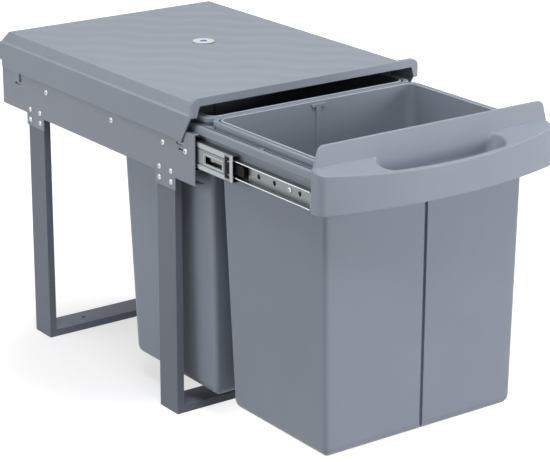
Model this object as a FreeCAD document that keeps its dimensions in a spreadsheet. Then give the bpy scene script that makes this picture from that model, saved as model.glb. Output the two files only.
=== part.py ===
import FreeCAD, Part
import os
import types

import Sketcher

# Built-in pull-out recycling bin for a kitchen cabinet: two bins hang in a carrier that runs out of a
# steel chassis on two telescopic ball slides, below a fixed lid.
# X points right seen from the front, Y to the back and Z up. The origin lies on the floor, in the middle
# of the four floor screw holes. The pieces stand in the pose with the carrier pulled half out.

SIZES = {
    # Whole unit
    "frame_width": 342.0,
    "rest_opening": 233.0,
    "middle_travel_share": 0.33,
    "overrun": 6.0,
    "pick_tolerance": 0.05,
    "fit_clearance": 0.05,
    "running_clearance": 0.25,
    # Leg frames of flat steel tube
    "leg_spacing": 322.0,
    "leg_depth": 40.0,
    "leg_thickness": 10.0,
    "leg_wall": 1.2,
    "leg_height": 331.0,
    "floor_hole_spacing": 208.0,
    "floor_hole_radius": 2.75,
    # Side plates
    "plate_thickness": 1.2,
    "plate_front": 227.0,
    "plate_rear": 249.0,
    "plate_bottom": 316.5,
    "plate_top": 381.0,
    "plate_foot_width": 14.0,
    "plate_shelf_width": 6.5,
    "tab_drop": 16.5,
    "tab_margin": 2.5,
    "hook_window_length": 16.0,
    "hook_window_height": 9.0,
    "hook_window_bottom": 351.0,
    "front_hook_place": 195.0,
    "front_hook_rise": 10.5,
    "rear_hook_place": 205.0,
    "slit_offset": 10.0,
    "slit_length": 11.0,
    "slit_height": 2.0,
    # Rivets and screws of the chassis
    "rivet_height": 309.0,
    "rivet_rise": 14.0,
    "rivet_pitch": 26.0,
    "rivet_radius": 2.0,
    "rivet_head_radius": 3.6,
    "rivet_head_height": 1.3,
    "screw_radius": 2.0,
    "screw_head_radius": 3.8,
    "screw_head_height": 1.6,
    # Lid
    "lid_top": 417.7,
    "lid_wall": 2.0,
    "lid_skirt_gap": 0.2,
    "lid_bevel_run": 4.2,
    "lid_ledge_width": 3.6,
    "lid_ledge_rise": 1.6,
    "lid_ridge": 402.0,
    "lid_skirt_bottom": 368.0,
    "lid_skirt_rake": 21.0,
    "lid_front": 222.0,
    "lid_rear": 254.0,
    "lid_rear_run": 17.0,
    "lid_rear_shoulder": 400.4,
    "lid_rear_bottom": 377.7,
    "lip_rise": 8.2,
    "lip_depth": 6.5,
    "lip_flare": 0.4,
    "lip_radius": 9.0,
    "lip_bottom": 402.0,
    "lid_seat_length": 30.0,
    "lid_seat_width": 3.6,
    "lid_seat_inset": 60.0,
    "hook_width": 11.0,
    "hook_reach": 2.0,
    "hook_drop": 13.0,
    "hook_toe": 4.0,
    # Telescopic slides
    "slide_axis": 356.0,
    "slide_length": 450.0,
    "slide_front": 222.0,
    "slide_thickness": 12.7,
    "track_wall": 1.2,
    "track_radius": 1.0,
    "outer_height": 45.0,
    "outer_reach": 10.5,
    "outer_lip": 3.4,
    "middle_height": 34.0,
    "middle_offset": 2.2,
    "middle_reach": 11.4,
    "middle_lip": 2.4,
    "middle_lead": 3.0,
    "middle_groove_place": 9.4,
    "middle_groove_width": 1.6,
    "middle_groove_depth": 0.6,
    "inner_height": 22.0,
    "inner_flange_start": 4.7,
    "inner_setback": 5.0,
    "cage_wall": 0.5,
    "outer_cage_reach": 8.4,
    "outer_cage_length": 200.0,
    "outer_cage_front": 62.0,
    "outer_ball_radius": 1.9,
    "outer_ball_place": 5.5,
    "inner_cage_reach": 9.0,
    "inner_cage_length": 145.0,
    "inner_cage_front": 63.0,
    "inner_ball_radius": 2.1,
    "inner_ball_place": 6.6,
    "window_front": 22.0,
    "window_length": 35.0,
    "window_step": 18.0,
    "window_bottom": 6.0,
    "window_step_rise": 6.0,
    "window_rise": 9.0,
    "bumper_front": 4.0,
    "bumper_length": 7.0,
    "bumper_height": 14.0,
    "bumper_foot": 0.8,
    "bumper_foot_margin": 1.5,
    "web_hole_radius": 3.2,
    # Release levers of the slides
    "lever_front": 130.5,
    "lever_length": 74.5,
    "lever_height": 8.0,
    "lever_head_length": 24.0,
    "lever_head_height": 13.0,
    "lever_thickness": 4.0,
    "lever_offset": 6.4,
    "lever_nose_radius": 3.2,
    "lever_pivot_inset": 10.0,
    "lever_pin_radius": 1.8,
    "lever_pin_head_radius": 3.0,
    "lever_pin_head_height": 0.8,
    # Carrier
    "carrier_lead": 15.0,
    "carrier_margin_front": 3.5,
    "carrier_margin_rear": 4.0,
    "rail_top": 391.0,
    "rail_height": 11.0,
    "rail_overhang": 6.0,
    "rail_radius": 3.0,
    "rail_corner_radius": 8.0,
    "rail_groove_width": 2.4,
    "rail_groove_depth": 3.0,
    "rail_lug_length": 7.0,
    "rail_lug_margin": 0.3,
    "rail_lug_rise": 1.2,
    "skirt_bottom": 340.0,
    "skirt_wall": 2.6,
    "divider_bottom": 362.0,
    "bin_clearance": 0.6,
    # Bins
    "bin_width": 300.0,
    "bin_depth": 213.0,
    "bin_bottom": 34.0,
    "bin_rim_top": 400.8,
    "bin_wall": 2.0,
    "bin_side_setback": 6.3,
    "bin_rear_setback": 21.0,
    "bin_corner_radius": 13.0,
    "rim_side": 7.0,
    "rim_end": 5.0,
    "rim_gap": 1.5,
    "rim_corner_radius": 12.0,
    "rim_bead": 0.4,
    "rim_groove_width": 1.8,
    "rim_groove_depth": 3.0,
    "rim_undercut": 3.0,
    "rim_radius": 1.0,
    "seam_width": 5.5,
    "seam_depth": 3.2,
    "seam_foot": 7.0,
    "seam_top": 381.0,
    "rib_width": 9.0,
    "rib_height": 2.0,
    "rib_radius": 1.9,
    "rib_head_width": 20.0,
    "rib_head_height": 4.0,
    # Front panel
    "panel_width": 350.0,
    "panel_bottom": 347.0,
    "panel_ledge": 398.5,
    "panel_top": 424.5,
    "panel_top_inset": 9.0,
    "panel_shoulder_inset": 1.5,
    "panel_back": 3.0,
    "panel_depth": 42.0,
    "panel_end_depth": 16.5,
    "panel_ledge_drop": 11.5,
    "panel_corner_radius": 11.0,
    "panel_top_radius": 9.0,
    "scoop_width": 190.0,
    "scoop_ramp": 14.0,
    "scoop_floor": 369.0,
    "scoop_lip": 6.5,
    "scoop_end_radius": 11.0,
    "scoop_floor_radius": 9.0,
    "scoop_rim_radius": 3.0,
    "panel_edge_radius": 1.5,
    "panel_hollow_rise": 13.0,
    "panel_hollow_margin": 12.0,
    "panel_wall": 3.0,
    "panel_screw_inset": 27.0,
    "panel_screw_drop": 17.0,
    "panel_screw_length": 12.0,
}

# Places along a piece, as shares of its length.
SLIDE_SCREW_SHARES = (0.033, 0.144, 0.413, 0.78)
WEB_HOLE_SHARES = (0.062, 0.171, 0.24)
INNER_SCREW_SHARES = (0.104, 0.56, 0.94)
BALL_SHARES = (0.08, 0.5, 0.92)

SHEET_NAME = "Sizes"


class Size:
    """A length with its value and the sheet expression that it comes from."""

    def __init__(self, value, text):
        self.value = value
        self.text = text

    def __add__(self, other):
        return Size(self.value + value_of(other), f"({self.text} + {text_of(other)})")

    def __radd__(self, other):
        return Size(value_of(other) + self.value, f"({text_of(other)} + {self.text})")

    def __sub__(self, other):
        return Size(self.value - value_of(other), f"({self.text} - {text_of(other)})")

    def __rsub__(self, other):
        return Size(value_of(other) - self.value, f"({text_of(other)} - {self.text})")

    def __mul__(self, other):
        return Size(self.value * value_of(other), f"({self.text} * {text_of(other)})")

    __rmul__ = __mul__

    def __truediv__(self, other):
        return Size(self.value / value_of(other), f"({self.text} / {text_of(other)})")

    def __neg__(self):
        return Size(-self.value, f"(0 - {self.text})")

    def root(self):
        """Give the square root."""
        return Size(self.value ** 0.5, f"sqrt({self.text})")


def value_of(term):
    """Give the number of a size or of a plain number."""
    return term.value if isinstance(term, Size) else float(term)


def text_of(term):
    """Give the expression of a size or of a plain number."""
    return term.text if isinstance(term, Size) else repr(float(term))


def make_sheet():
    """Write every driving size into the sheet and give the sizes back by name."""
    sheet = doc.addObject("Spreadsheet::Sheet", SHEET_NAME)
    sizes = types.SimpleNamespace()
    for row, (name, number) in enumerate(SIZES.items(), start=1):
        cell = f"A{row}"
        sheet.set(cell, str(number))
        sheet.setAlias(cell, name)
        setattr(sizes, name, Size(number, f"{SHEET_NAME}.{name}"))
    doc.recompute()
    return sizes


doc = FreeCAD.newDocument("RecyclingBin")
s = make_sheet()
nodes = {}


# Modelling helpers

def keep(label, piece):
    """Name a finished piece, which gets a file of its own."""
    piece.Label = label
    nodes[label] = piece
    return piece


def place(piece, position):
    """Bind where a piece stands."""
    for axis, term in zip("xyz", position):
        piece.setExpression(f"Placement.Base.{axis}", text_of(term))


def box(low, high):
    """Make a block between two corners."""
    block = doc.addObject("Part::Box", "Block")
    for name, lower, upper in zip(("Length", "Width", "Height"), low, high):
        block.setExpression(name, text_of(upper - lower))
    place(block, low)
    return block


def rod(radius, start, length, direction):
    """Make a round bar from a start point along an axis direction."""
    bar = doc.addObject("Part::Cylinder", "Rod")
    bar.setExpression("Radius", radius.text)
    bar.setExpression("Height", length.text)
    turn = FreeCAD.Rotation(FreeCAD.Vector(0, 0, 1), FreeCAD.Vector(*direction))
    bar.Placement = FreeCAD.Placement(FreeCAD.Vector(), turn)
    place(bar, start)
    return bar


def fuse(pieces):
    """Join pieces that meet into one."""
    joined = doc.addObject("Part::MultiFuse", "Joined")
    joined.Shapes = pieces
    return joined


def cut(base, tools):
    """Take tools out of a base."""
    result = doc.addObject("Part::Cut", "Cut")
    result.Base = base
    result.Tool = tools[0] if len(tools) == 1 else fuse(tools)
    return result


def mirrored(piece):
    """Make the opposite hand of a piece across the middle plane."""
    twin = doc.addObject("Part::Mirroring", "Twin")
    twin.Source = piece
    twin.Normal = FreeCAD.Vector(1, 0, 0)
    return twin


def pair(name, right_piece):
    """Keep a piece as the right one and its mirror image as the left one."""
    keep(f"{name}_right", right_piece)
    keep(f"{name}_left", mirrored(right_piece))


def group(label, source, positions):
    """Keep copies of one small piece, each a solid of its own, in one node."""
    doc.recompute()
    copies = []
    for position in positions:
        copy = source.Shape.copy()
        copy.translate(FreeCAD.Vector(*[value_of(term) for term in position]))
        copies.append(copy)
    copies_piece = doc.addObject("Part::Feature", "Group")
    copies_piece.Shape = Part.makeCompound(copies)
    return keep(label, copies_piece)


def new_body(name):
    """Start a body."""
    return doc.addObject("PartDesign::Body", name)


def origin_plane(body, role):
    """Find one of a body's own origin planes."""
    return next(feature for feature in body.Origin.OriginFeatures if feature.Role == role)


def arc_between(start, end, radius):
    """Make the flatter arc from start to end, bulging to the right of the way from start to end."""
    chord = end - start
    middle = (start + end) / 2
    across = FreeCAD.Vector(-chord.y, chord.x, 0).normalize()
    rise = (radius ** 2 - (chord.Length / 2) ** 2) ** 0.5
    crown = middle + across * rise - across * radius
    return Part.Arc(start, crown, end)


def add_outline(sketch, points):
    """Add a closed outline to a sketch.

    Each point is (u, v) or (u, v, radius), where a radius makes the stretch to the next point an arc.
    """
    corners = [FreeCAD.Vector(value_of(point[0]), value_of(point[1]), 0) for point in points]
    first = sketch.GeometryCount
    count = len(points)
    for number, point in enumerate(points):
        start = corners[number]
        end = corners[(number + 1) % count]
        if len(point) > 2:
            curve = arc_between(start, end, value_of(point[2]))
        else:
            curve = Part.LineSegment(start, end)
        sketch.addGeometry(curve, False)
    for number, point in enumerate(points):
        following = first + (number + 1) % count
        sketch.addConstraint(Sketcher.Constraint("Coincident", first + number, 2, following, 1))
    for number, point in enumerate(points):
        for kind, term, axis in (("DistanceX", point[0], -2), ("DistanceY", point[1], -1)):
            if not isinstance(term, Size):
                sketch.addConstraint(Sketcher.Constraint("PointOnObject", first + number, 1, axis))
                continue
            rule = sketch.addConstraint(Sketcher.Constraint(kind, -1, 1, first + number, 1, term.value))
            sketch.setExpression(f"Constraints[{rule}]", term.text)
        if len(point) > 2:
            rule = sketch.addConstraint(Sketcher.Constraint("Radius", first + number, point[2].value))
            sketch.setExpression(f"Constraints[{rule}]", point[2].text)


def add_circle(sketch, across, up, radius):
    """Add a circle to a sketch."""
    center = FreeCAD.Vector(value_of(across), value_of(up), 0)
    number = sketch.addGeometry(Part.Circle(center, FreeCAD.Vector(0, 0, 1), radius.value), False)
    for kind, term in (("DistanceX", across), ("DistanceY", up)):
        rule = sketch.addConstraint(Sketcher.Constraint(kind, -1, 1, number, 3, term.value))
        sketch.setExpression(f"Constraints[{rule}]", term.text)
    rule = sketch.addConstraint(Sketcher.Constraint("Radius", number, radius.value))
    sketch.setExpression(f"Constraints[{rule}]", radius.text)


def draw(body, role, level, outlines=(), circles=()):
    """Draw outlines and circles on a plane of the body, lifted along its normal by a level."""
    sketch = body.newObject("Sketcher::SketchObject", "Outline")
    sketch.AttachmentSupport = (origin_plane(body, role), "")
    sketch.MapMode = "FlatFace"
    sketch.setExpression("AttachmentOffset.Base.z", text_of(level))
    for points in outlines:
        add_outline(sketch, points)
    for circle in circles:
        add_circle(sketch, *circle)
    return sketch


def extrude(body, kind, sketch, length, reverse=False, both_ways=False):
    """Pad or pocket a sketch by a length."""
    doc.recompute()
    feature = body.newObject(f"PartDesign::{kind}", kind)
    feature.Profile = sketch
    feature.setExpression("Length", text_of(length))
    feature.Reversed = reverse
    if both_ways:
        feature.SideType = "Symmetric"
    doc.recompute()
    return feature


def fillet(body, radius, wanted):
    """Round the edges of a body whose bounding boxes pass a test."""
    doc.recompute()
    base = body.Tip
    names = [
        f"Edge{number}"
        for number, edge in enumerate(base.Shape.Edges, start=1)
        if wanted(edge.BoundBox)
    ]
    feature = body.newObject("PartDesign::Fillet", "Rounding")
    feature.Base = (base, names)
    feature.setExpression("Radius", radius.text)
    doc.recompute()
    return feature


def shell(body, wall, is_open):
    """Hollow a body to one wall thickness, open at the faces whose bounding boxes pass a test."""
    doc.recompute()
    base = body.Tip
    names = [
        f"Face{number}"
        for number, face in enumerate(base.Shape.Faces, start=1)
        if is_open(face.BoundBox)
    ]
    feature = body.newObject("PartDesign::Thickness", "Shell")
    feature.Base = (base, names)
    feature.setExpression("Value", wall.text)
    feature.Reversed = True
    feature.Join = "Intersection"
    doc.recompute()
    return feature


def near(number, term):
    """Say whether a number lies at a size."""
    return abs(number - value_of(term)) < s.pick_tolerance.value


def mid(term_low, term_high):
    """Give the middle of two numbers."""
    return (term_low + term_high) / 2


def upright_at(across, along):
    """Test for upright edges at one place, or at its mirror image across the middle plane."""
    def test(bounds):
        across_fits = near(abs(mid(bounds.XMin, bounds.XMax)), across)
        place_fits = across_fits and near(mid(bounds.YMin, bounds.YMax), along)
        return place_fits and bounds.ZLength > s.pick_tolerance.value
    return test


def lengthwise_at(places):
    """Test for edges along Y at any of some places (x, z)."""
    def test(bounds):
        if bounds.YLength < s.pick_tolerance.value or bounds.XLength > s.pick_tolerance.value:
            return False
        return any(near(bounds.XMin, across) and near(bounds.ZMin, up) and near(bounds.ZMax, up)
                   for across, up in places)
    return test


def level_at(height):
    """Test for edges that lie at one height."""
    return lambda bounds: near(bounds.ZMin, height) and near(bounds.ZMax, height)


def rectangle(left, right, low, high):
    """Give the corners of a rectangle."""
    return [(left, low), (right, low), (right, high), (left, high)]


def rounded_rectangle(half_width, front, rear, radius):
    """Give the outline of a rectangle in plan with round corners, about the middle plane."""
    inner = half_width - radius
    return [
        (-inner, front),
        (inner, front, radius),
        (half_width, front + radius),
        (half_width, rear - radius, radius),
        (inner, rear),
        (-inner, rear, radius),
        (-half_width, rear - radius),
        (-half_width, front + radius, radius),
    ]


# Places that several pieces share
plate_outside = s.frame_width / 2
plate_inside = plate_outside - s.plate_thickness
leg_places = {"front": -s.leg_spacing / 2, "rear": s.leg_spacing / 2}
leg_inside = plate_inside - s.leg_thickness
slide_inside = plate_inside - s.slide_thickness
pulled_out = -s.rest_opening
middle_out = pulled_out * s.middle_travel_share
outer_cage_out = middle_out / 2
inner_cage_out = (pulled_out + middle_out) / 2
slide_screw_places = [s.slide_length * share - s.slide_front for share in SLIDE_SCREW_SHARES]
hook_places = [(-s.front_hook_place, s.front_hook_rise), (s.rear_hook_place, 0)]
slit_middle = slide_screw_places[0] + s.slit_offset
screw_slit = rectangle(slit_middle - s.slit_length / 2, slit_middle + s.slit_length / 2,
                       s.slide_axis - s.slit_height / 2, s.slide_axis + s.slit_height / 2)
rivet_places = [
    (leg + s.rivet_pitch * turn / 2, s.rivet_height + s.rivet_rise * row)
    for leg in leg_places.values()
    for turn in (-1, 1)
    for row in (0, 1)
]


# Leg frames

def make_legs():
    """Make four upright tubes with rivet holes, and two base bars with floor screw holes."""
    for end, middle in leg_places.items():
        front = middle - s.leg_depth / 2
        rear = middle + s.leg_depth / 2
        tube = box((leg_inside, front, 0), (plate_inside, rear, s.leg_height))
        bore = box((leg_inside + s.leg_wall, front + s.leg_wall, -s.overrun),
                   (plate_inside - s.leg_wall, rear - s.leg_wall, s.leg_height + s.overrun))
        hole_start = plate_inside - s.leg_wall - s.overrun / 2
        holes = [
            rod(s.rivet_radius + s.fit_clearance, (hole_start, along, up), s.overrun, (1, 0, 0))
            for along, up in rivet_places
        ]
        pair(f"{end}_leg", cut(tube, [bore] + holes))
        bar = box((-leg_inside, front, 0), (leg_inside, rear, s.leg_thickness))
        bar_bore = box((-leg_inside - s.overrun, front + s.leg_wall, s.leg_wall),
                       (leg_inside + s.overrun, rear - s.leg_wall, s.leg_thickness - s.leg_wall))
        floor_holes = [
            rod(s.floor_hole_radius, (s.floor_hole_spacing * turn / 2, middle, -s.overrun),
                s.leg_thickness + s.overrun * 2, (0, 0, 1))
            for turn in (-1, 1)
        ]
        keep(f"{end}_base_bar", cut(bar, [bar_bore] + floor_holes))


# Side plates

def make_side_plates():
    """Fold each plate from sheet: web with riveting tabs, bottom foot, top shelf, holes and hook windows."""
    body = new_body("SidePlate")
    tab_half = s.leg_depth / 2 + s.tab_margin
    tab_bottom = s.plate_bottom - s.tab_drop
    web = [(-s.plate_front, s.plate_bottom)]
    for middle in leg_places.values():
        web += [(middle - tab_half, s.plate_bottom), (middle - tab_half, tab_bottom),
                (middle + tab_half, tab_bottom), (middle + tab_half, s.plate_bottom)]
    web += [(s.plate_rear, s.plate_bottom), (s.plate_rear, s.plate_top), (-s.plate_front, s.plate_top)]
    extrude(body, "Pad", draw(body, "YZ_Plane", plate_inside, [web]), s.plate_thickness)
    foot_top = s.plate_bottom + s.plate_thickness
    front_leg = leg_places["front"]
    rear_leg = leg_places["rear"]
    feet = [
        rectangle(-s.plate_front, front_leg - tab_half, s.plate_bottom, foot_top),
        rectangle(front_leg + tab_half, rear_leg - tab_half, s.plate_bottom, foot_top),
        rectangle(rear_leg + tab_half, s.plate_rear, s.plate_bottom, foot_top),
    ]
    foot_sketch = draw(body, "YZ_Plane", plate_outside - s.plate_foot_width, feet)
    extrude(body, "Pad", foot_sketch, s.plate_foot_width)
    shelf = rectangle(-s.plate_front, s.plate_rear, s.plate_top - s.plate_thickness, s.plate_top)
    shelf_sketch = draw(body, "YZ_Plane", plate_outside - s.plate_shelf_width, [shelf])
    extrude(body, "Pad", shelf_sketch, s.plate_shelf_width)
    windows = [
        rectangle(place_along - s.hook_window_length / 2, place_along + s.hook_window_length / 2,
                  s.hook_window_bottom + rise, s.hook_window_bottom + rise + s.hook_window_height)
        for place_along, rise in hook_places
    ]
    windows.append(screw_slit)
    hole_radius = s.rivet_radius + s.fit_clearance
    holes = [(along, up, hole_radius) for along, up in rivet_places]
    holes += [(along, s.slide_axis, s.screw_radius + s.fit_clearance) for along in slide_screw_places]
    hole_sketch = draw(body, "YZ_Plane", plate_outside + s.overrun, windows, holes)
    extrude(body, "Pocket", hole_sketch, s.overrun * 2)
    pair("side_plate", body)


def make_chassis_fasteners():
    """Make the rivets of the legs and the screws that hold the slides to the plates."""
    grip = s.plate_thickness + s.leg_wall
    blind_start = plate_outside - grip - s.rivet_head_height
    rivet = fuse([
        rod(s.rivet_radius, (blind_start, 0, 0), grip + s.rivet_head_height * 2, (1, 0, 0)),
        rod(s.rivet_head_radius, (plate_outside, 0, 0), s.rivet_head_height, (1, 0, 0)),
        rod(s.rivet_head_radius, (blind_start, 0, 0), s.rivet_head_height, (1, 0, 0)),
    ])
    screw_start = plate_inside - s.track_wall
    shank_length = s.plate_thickness + s.track_wall + s.screw_head_height
    screw = fuse([
        rod(s.screw_radius, (screw_start, 0, 0), shank_length, (1, 0, 0)),
        rod(s.screw_head_radius, (plate_outside, 0, 0), s.screw_head_height, (1, 0, 0)),
    ])
    two_sided("leg_rivets", rivet, [(0, along, up) for along, up in rivet_places])
    two_sided("slide_screws", screw, [(0, along, s.slide_axis) for along in slide_screw_places])


def two_sided(label, source, positions):
    """Keep copies of a right-hand piece and of its mirror image in one node."""
    twin = mirrored(source)
    doc.recompute()
    both = doc.addObject("Part::Feature", "Group")
    copies = []
    for shape in (source.Shape, twin.Shape):
        for position in positions:
            copy = shape.copy()
            copy.translate(FreeCAD.Vector(*[value_of(term) for term in position]))
            copies.append(copy)
    both.Shape = Part.makeCompound(copies)
    return keep(label, both)


# Lid

def make_lid():
    """Mould the lid: a shell with bevelled sides, a raked skirt, a raised front lip, seats and hooks."""
    body = new_body("Lid")
    skirt_inside = plate_outside + s.lid_skirt_gap
    half = skirt_inside + s.lid_wall
    ledge = half - s.lid_ledge_width
    crease = ledge - s.lid_bevel_run
    ledge_height = s.lid_ridge + s.lid_ledge_rise
    section = [(-half, s.lid_skirt_bottom), (half, s.lid_skirt_bottom), (half, s.lid_ridge),
               (ledge, ledge_height), (crease, s.lid_top), (-crease, s.lid_top),
               (-ledge, ledge_height), (-half, s.lid_ridge)]
    length = s.lid_rear + s.lid_front
    extrude(body, "Pad", draw(body, "XZ_Plane", -s.lid_rear, [section]), length)
    rear_slope = [(s.lid_rear - s.lid_rear_run, s.lid_top), (s.lid_rear, s.lid_rear_shoulder),
                  (s.lid_rear + s.overrun, s.lid_rear_shoulder),
                  (s.lid_rear + s.overrun, s.lid_top + s.overrun),
                  (s.lid_rear - s.lid_rear_run, s.lid_top + s.overrun)]
    extrude(body, "Pocket", draw(body, "YZ_Plane", 0, [rear_slope]), s.frame_width * 2, both_ways=True)
    is_open = lambda bounds: near(bounds.ZMax, s.lid_skirt_bottom) or near(bounds.YMax, -s.lid_front)
    shell(body, s.lid_wall, is_open)
    rear_edge = [(s.lid_rear - s.lid_wall - s.overrun, s.lid_skirt_bottom - s.overrun),
                 (s.lid_rear + s.overrun, s.lid_skirt_bottom - s.overrun),
                 (s.lid_rear + s.overrun, s.lid_rear_bottom),
                 (s.lid_rear - s.lid_wall - s.overrun, s.lid_rear_bottom)]
    extrude(body, "Pocket", draw(body, "YZ_Plane", 0, [rear_edge]), s.frame_width * 2, both_ways=True)
    rake = [(-s.lid_front - s.overrun, s.lid_skirt_bottom - s.overrun),
            (s.lid_skirt_rake - s.lid_front, s.lid_skirt_bottom - s.overrun),
            (s.lid_skirt_rake - s.lid_front, s.lid_skirt_bottom),
            (-s.lid_front, s.lid_ridge), (-s.lid_front - s.overrun, s.lid_ridge)]
    extrude(body, "Pocket", draw(body, "YZ_Plane", 0, [rake]), s.frame_width * 2, both_ways=True)
    lip_half = half + s.lip_flare
    lip_top = s.lid_top + s.lip_rise
    opening_half = ledge - s.lid_wall
    opening_top = s.lid_top - s.lid_wall
    lip = [(-lip_half, s.lip_bottom), (-opening_half, s.lip_bottom), (-crease + s.lid_wall, opening_top),
           (crease - s.lid_wall, opening_top), (opening_half, s.lip_bottom), (lip_half, s.lip_bottom),
           (lip_half, lip_top), (-lip_half, lip_top)]
    extrude(body, "Pad", draw(body, "XZ_Plane", s.lid_front - s.lid_wall / 2, [lip]), s.lip_depth)
    fillet(body, s.lip_radius, lengthwise_at([(-lip_half, lip_top), (lip_half, lip_top)]))
    seat_low = s.plate_top
    seat_outer = plate_outside + s.lid_skirt_gap + s.lid_wall / 2
    seat_inner = plate_outside - s.lid_seat_width
    for turn in (-1, 1):
        seats = []
        for middle in (s.lid_seat_inset - s.lid_front, s.lid_rear - s.lid_seat_inset):
            seats.append(rectangle(middle - s.lid_seat_length / 2, middle + s.lid_seat_length / 2,
                                   seat_low, s.lid_ridge - s.lid_wall / 2))
        seat_sketch = draw(body, "YZ_Plane", seat_inner * turn, seats)
        extrude(body, "Pad", seat_sketch, seat_outer - seat_inner, reverse=turn < 0)
        hooks = []
        toes = []
        for middle, rise in hook_places:
            hook_bottom = s.lid_skirt_bottom - s.hook_drop + rise
            hooks.append(rectangle(middle - s.hook_width / 2, middle + s.hook_width / 2,
                                   hook_bottom, s.lid_skirt_bottom + s.lid_wall))
            toes.append(rectangle(middle - s.hook_width / 2, middle + s.hook_width / 2,
                                  hook_bottom, hook_bottom + s.hook_toe))
        hook_sketch = draw(body, "YZ_Plane", skirt_inside * turn, hooks)
        extrude(body, "Pad", hook_sketch, s.lid_wall, reverse=turn < 0)
        toe_sketch = draw(body, "YZ_Plane", (half - s.hook_reach - s.lid_wall / 2) * turn, toes)
        extrude(body, "Pad", toe_sketch, s.hook_reach, reverse=turn < 0)
    keep("lid", body)


# Telescopic slides

def channel(back, mouth, half_height, wall, lip, inward):
    """Give the section of a folded channel: its web at back, its flanges reaching to the mouth.

    inward is 1 where the mouth lies on the side of larger x and -1 where it lies on the other side.
    """
    web = back + wall * inward
    lip_back = mouth - wall * inward
    low = s.slide_axis - half_height
    high = s.slide_axis + half_height
    if lip is None:
        return [(back, low), (mouth, low), (mouth, low + wall), (web, low + wall),
                (web, high - wall), (mouth, high - wall), (mouth, high), (back, high)]
    return [(back, low), (mouth, low), (mouth, low + lip), (lip_back, low + lip), (lip_back, low + wall),
            (web, low + wall), (web, high - wall), (lip_back, high - wall), (lip_back, high - lip),
            (mouth, high - lip), (mouth, high), (back, high)]


def make_member(name, section, front, length, shift, corners, cut_outlines=(), cut_circles=()):
    """Roll one slide member, round its long corners and punch its web; the right one and its mirror image."""
    body = new_body("Member")
    extrude(body, "Pad", draw(body, "XZ_Plane", -front, [section]), length, reverse=True)
    if corners:
        fillet(body, s.track_radius, lengthwise_at(corners))
    if cut_outlines or cut_circles:
        punch = draw(body, "YZ_Plane", plate_inside, cut_outlines, cut_circles)
        extrude(body, "Pocket", punch, s.slide_thickness + s.fit_clearance)
    body.setExpression("Placement.Base.y", text_of(shift))
    pair(name, body)
    return body


def corners_of(back, mouth, half_height):
    """Give the outer long corners of a channel."""
    return [(across, s.slide_axis + half_height * turn) for across in (back, mouth) for turn in (-1, 1)]


def make_outer_members():
    """Make the fixed member of each slide."""
    mouth = plate_inside - s.outer_reach
    half = s.outer_height / 2
    section = channel(plate_inside, mouth, half, s.track_wall, s.outer_lip, -1)
    holes = [(along, s.slide_axis, s.screw_radius + s.fit_clearance) for along in slide_screw_places]
    make_member("outer_member", section, -s.slide_front, s.slide_length, 0,
                corners_of(plate_inside, mouth, half), cut_outlines=[screw_slit], cut_circles=holes)


def make_middle_members():
    """Make the member that runs between, grooved along its tracks, and the bumper clipped into its front."""
    back = plate_inside - s.middle_offset
    mouth = plate_inside - s.middle_reach
    half = s.middle_height / 2
    front = -s.slide_front - s.middle_lead
    section = channel(back, mouth, half, s.track_wall, s.middle_lip, -1)
    window_front = front + s.window_front
    window_rear = window_front + s.window_length
    window_low = s.slide_axis - s.window_bottom
    step_height = window_low + s.window_step_rise
    window = [(window_front, window_low), (window_rear, window_low),
              (window_rear, window_low + s.window_rise),
              (window_front + s.window_step, window_low + s.window_rise),
              (window_front + s.window_step, step_height), (window_front, step_height)]
    slot_front = front + s.bumper_front
    slot_half = s.bumper_height / 2
    slot = rectangle(slot_front, slot_front + s.bumper_length,
                     s.slide_axis - slot_half, s.slide_axis + slot_half)
    member = make_member("middle_member", section, front, s.slide_length, middle_out,
                         corners_of(back, mouth, half), cut_outlines=[window, slot])
    groove_half = s.middle_groove_width / 2
    grooves = [
        rectangle(front, front + s.slide_length, height - groove_half, height + groove_half)
        for height in (s.slide_axis - s.middle_groove_place, s.slide_axis + s.middle_groove_place)
    ]
    extrude(member, "Pocket", draw(member, "YZ_Plane", back, grooves), s.middle_groove_depth)
    bumper = new_body("Bumper")
    gap = s.fit_clearance
    plug = rectangle(slot_front + gap, slot_front + s.bumper_length - gap,
                     s.slide_axis - slot_half + gap, s.slide_axis + slot_half - gap)
    extrude(bumper, "Pad", draw(bumper, "YZ_Plane", back - s.track_wall, [plug]), s.track_wall)
    margin = s.bumper_foot_margin
    foot = rectangle(slot_front - margin, slot_front + s.bumper_length + margin,
                     s.slide_axis - slot_half + gap, s.slide_axis + slot_half - gap)
    foot_sketch = draw(bumper, "YZ_Plane", back - s.track_wall - s.bumper_foot, [foot])
    extrude(bumper, "Pad", foot_sketch, s.bumper_foot)
    bumper.setExpression("Placement.Base.y", middle_out.text)
    pair("middle_bumper", bumper)


def make_inner_members():
    """Make the member screwed to the carrier, with its row of web holes and a tab across its front end."""
    mouth = plate_inside - s.inner_flange_start
    half = s.inner_height / 2
    front = s.inner_setback - s.slide_front
    section = channel(slide_inside, mouth, half, s.track_wall, None, 1)
    holes = web_holes()
    holes += [(along, s.slide_axis, s.screw_radius + s.fit_clearance) for along in inner_screw_places()]
    holes.append((lever_pivot(), s.slide_axis, s.lever_pin_radius + s.fit_clearance))
    member = make_member("inner_member", section, front, s.slide_length, pulled_out,
                         corners_of(slide_inside, mouth, half), cut_circles=holes)
    tab_half = half - s.track_wall / 2
    tab = rectangle(slide_inside + s.track_wall / 2, mouth - s.track_radius,
                    s.slide_axis - tab_half, s.slide_axis + tab_half)
    extrude(member, "Pad", draw(member, "XZ_Plane", -front, [tab]), s.track_wall, reverse=True)


def web_holes():
    """Give the row of holes that the inner members and the carrier share, with the carrier pushed in."""
    front = s.inner_setback - s.slide_front
    return [(front + s.slide_length * share, s.slide_axis, s.web_hole_radius) for share in WEB_HOLE_SHARES]


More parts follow.
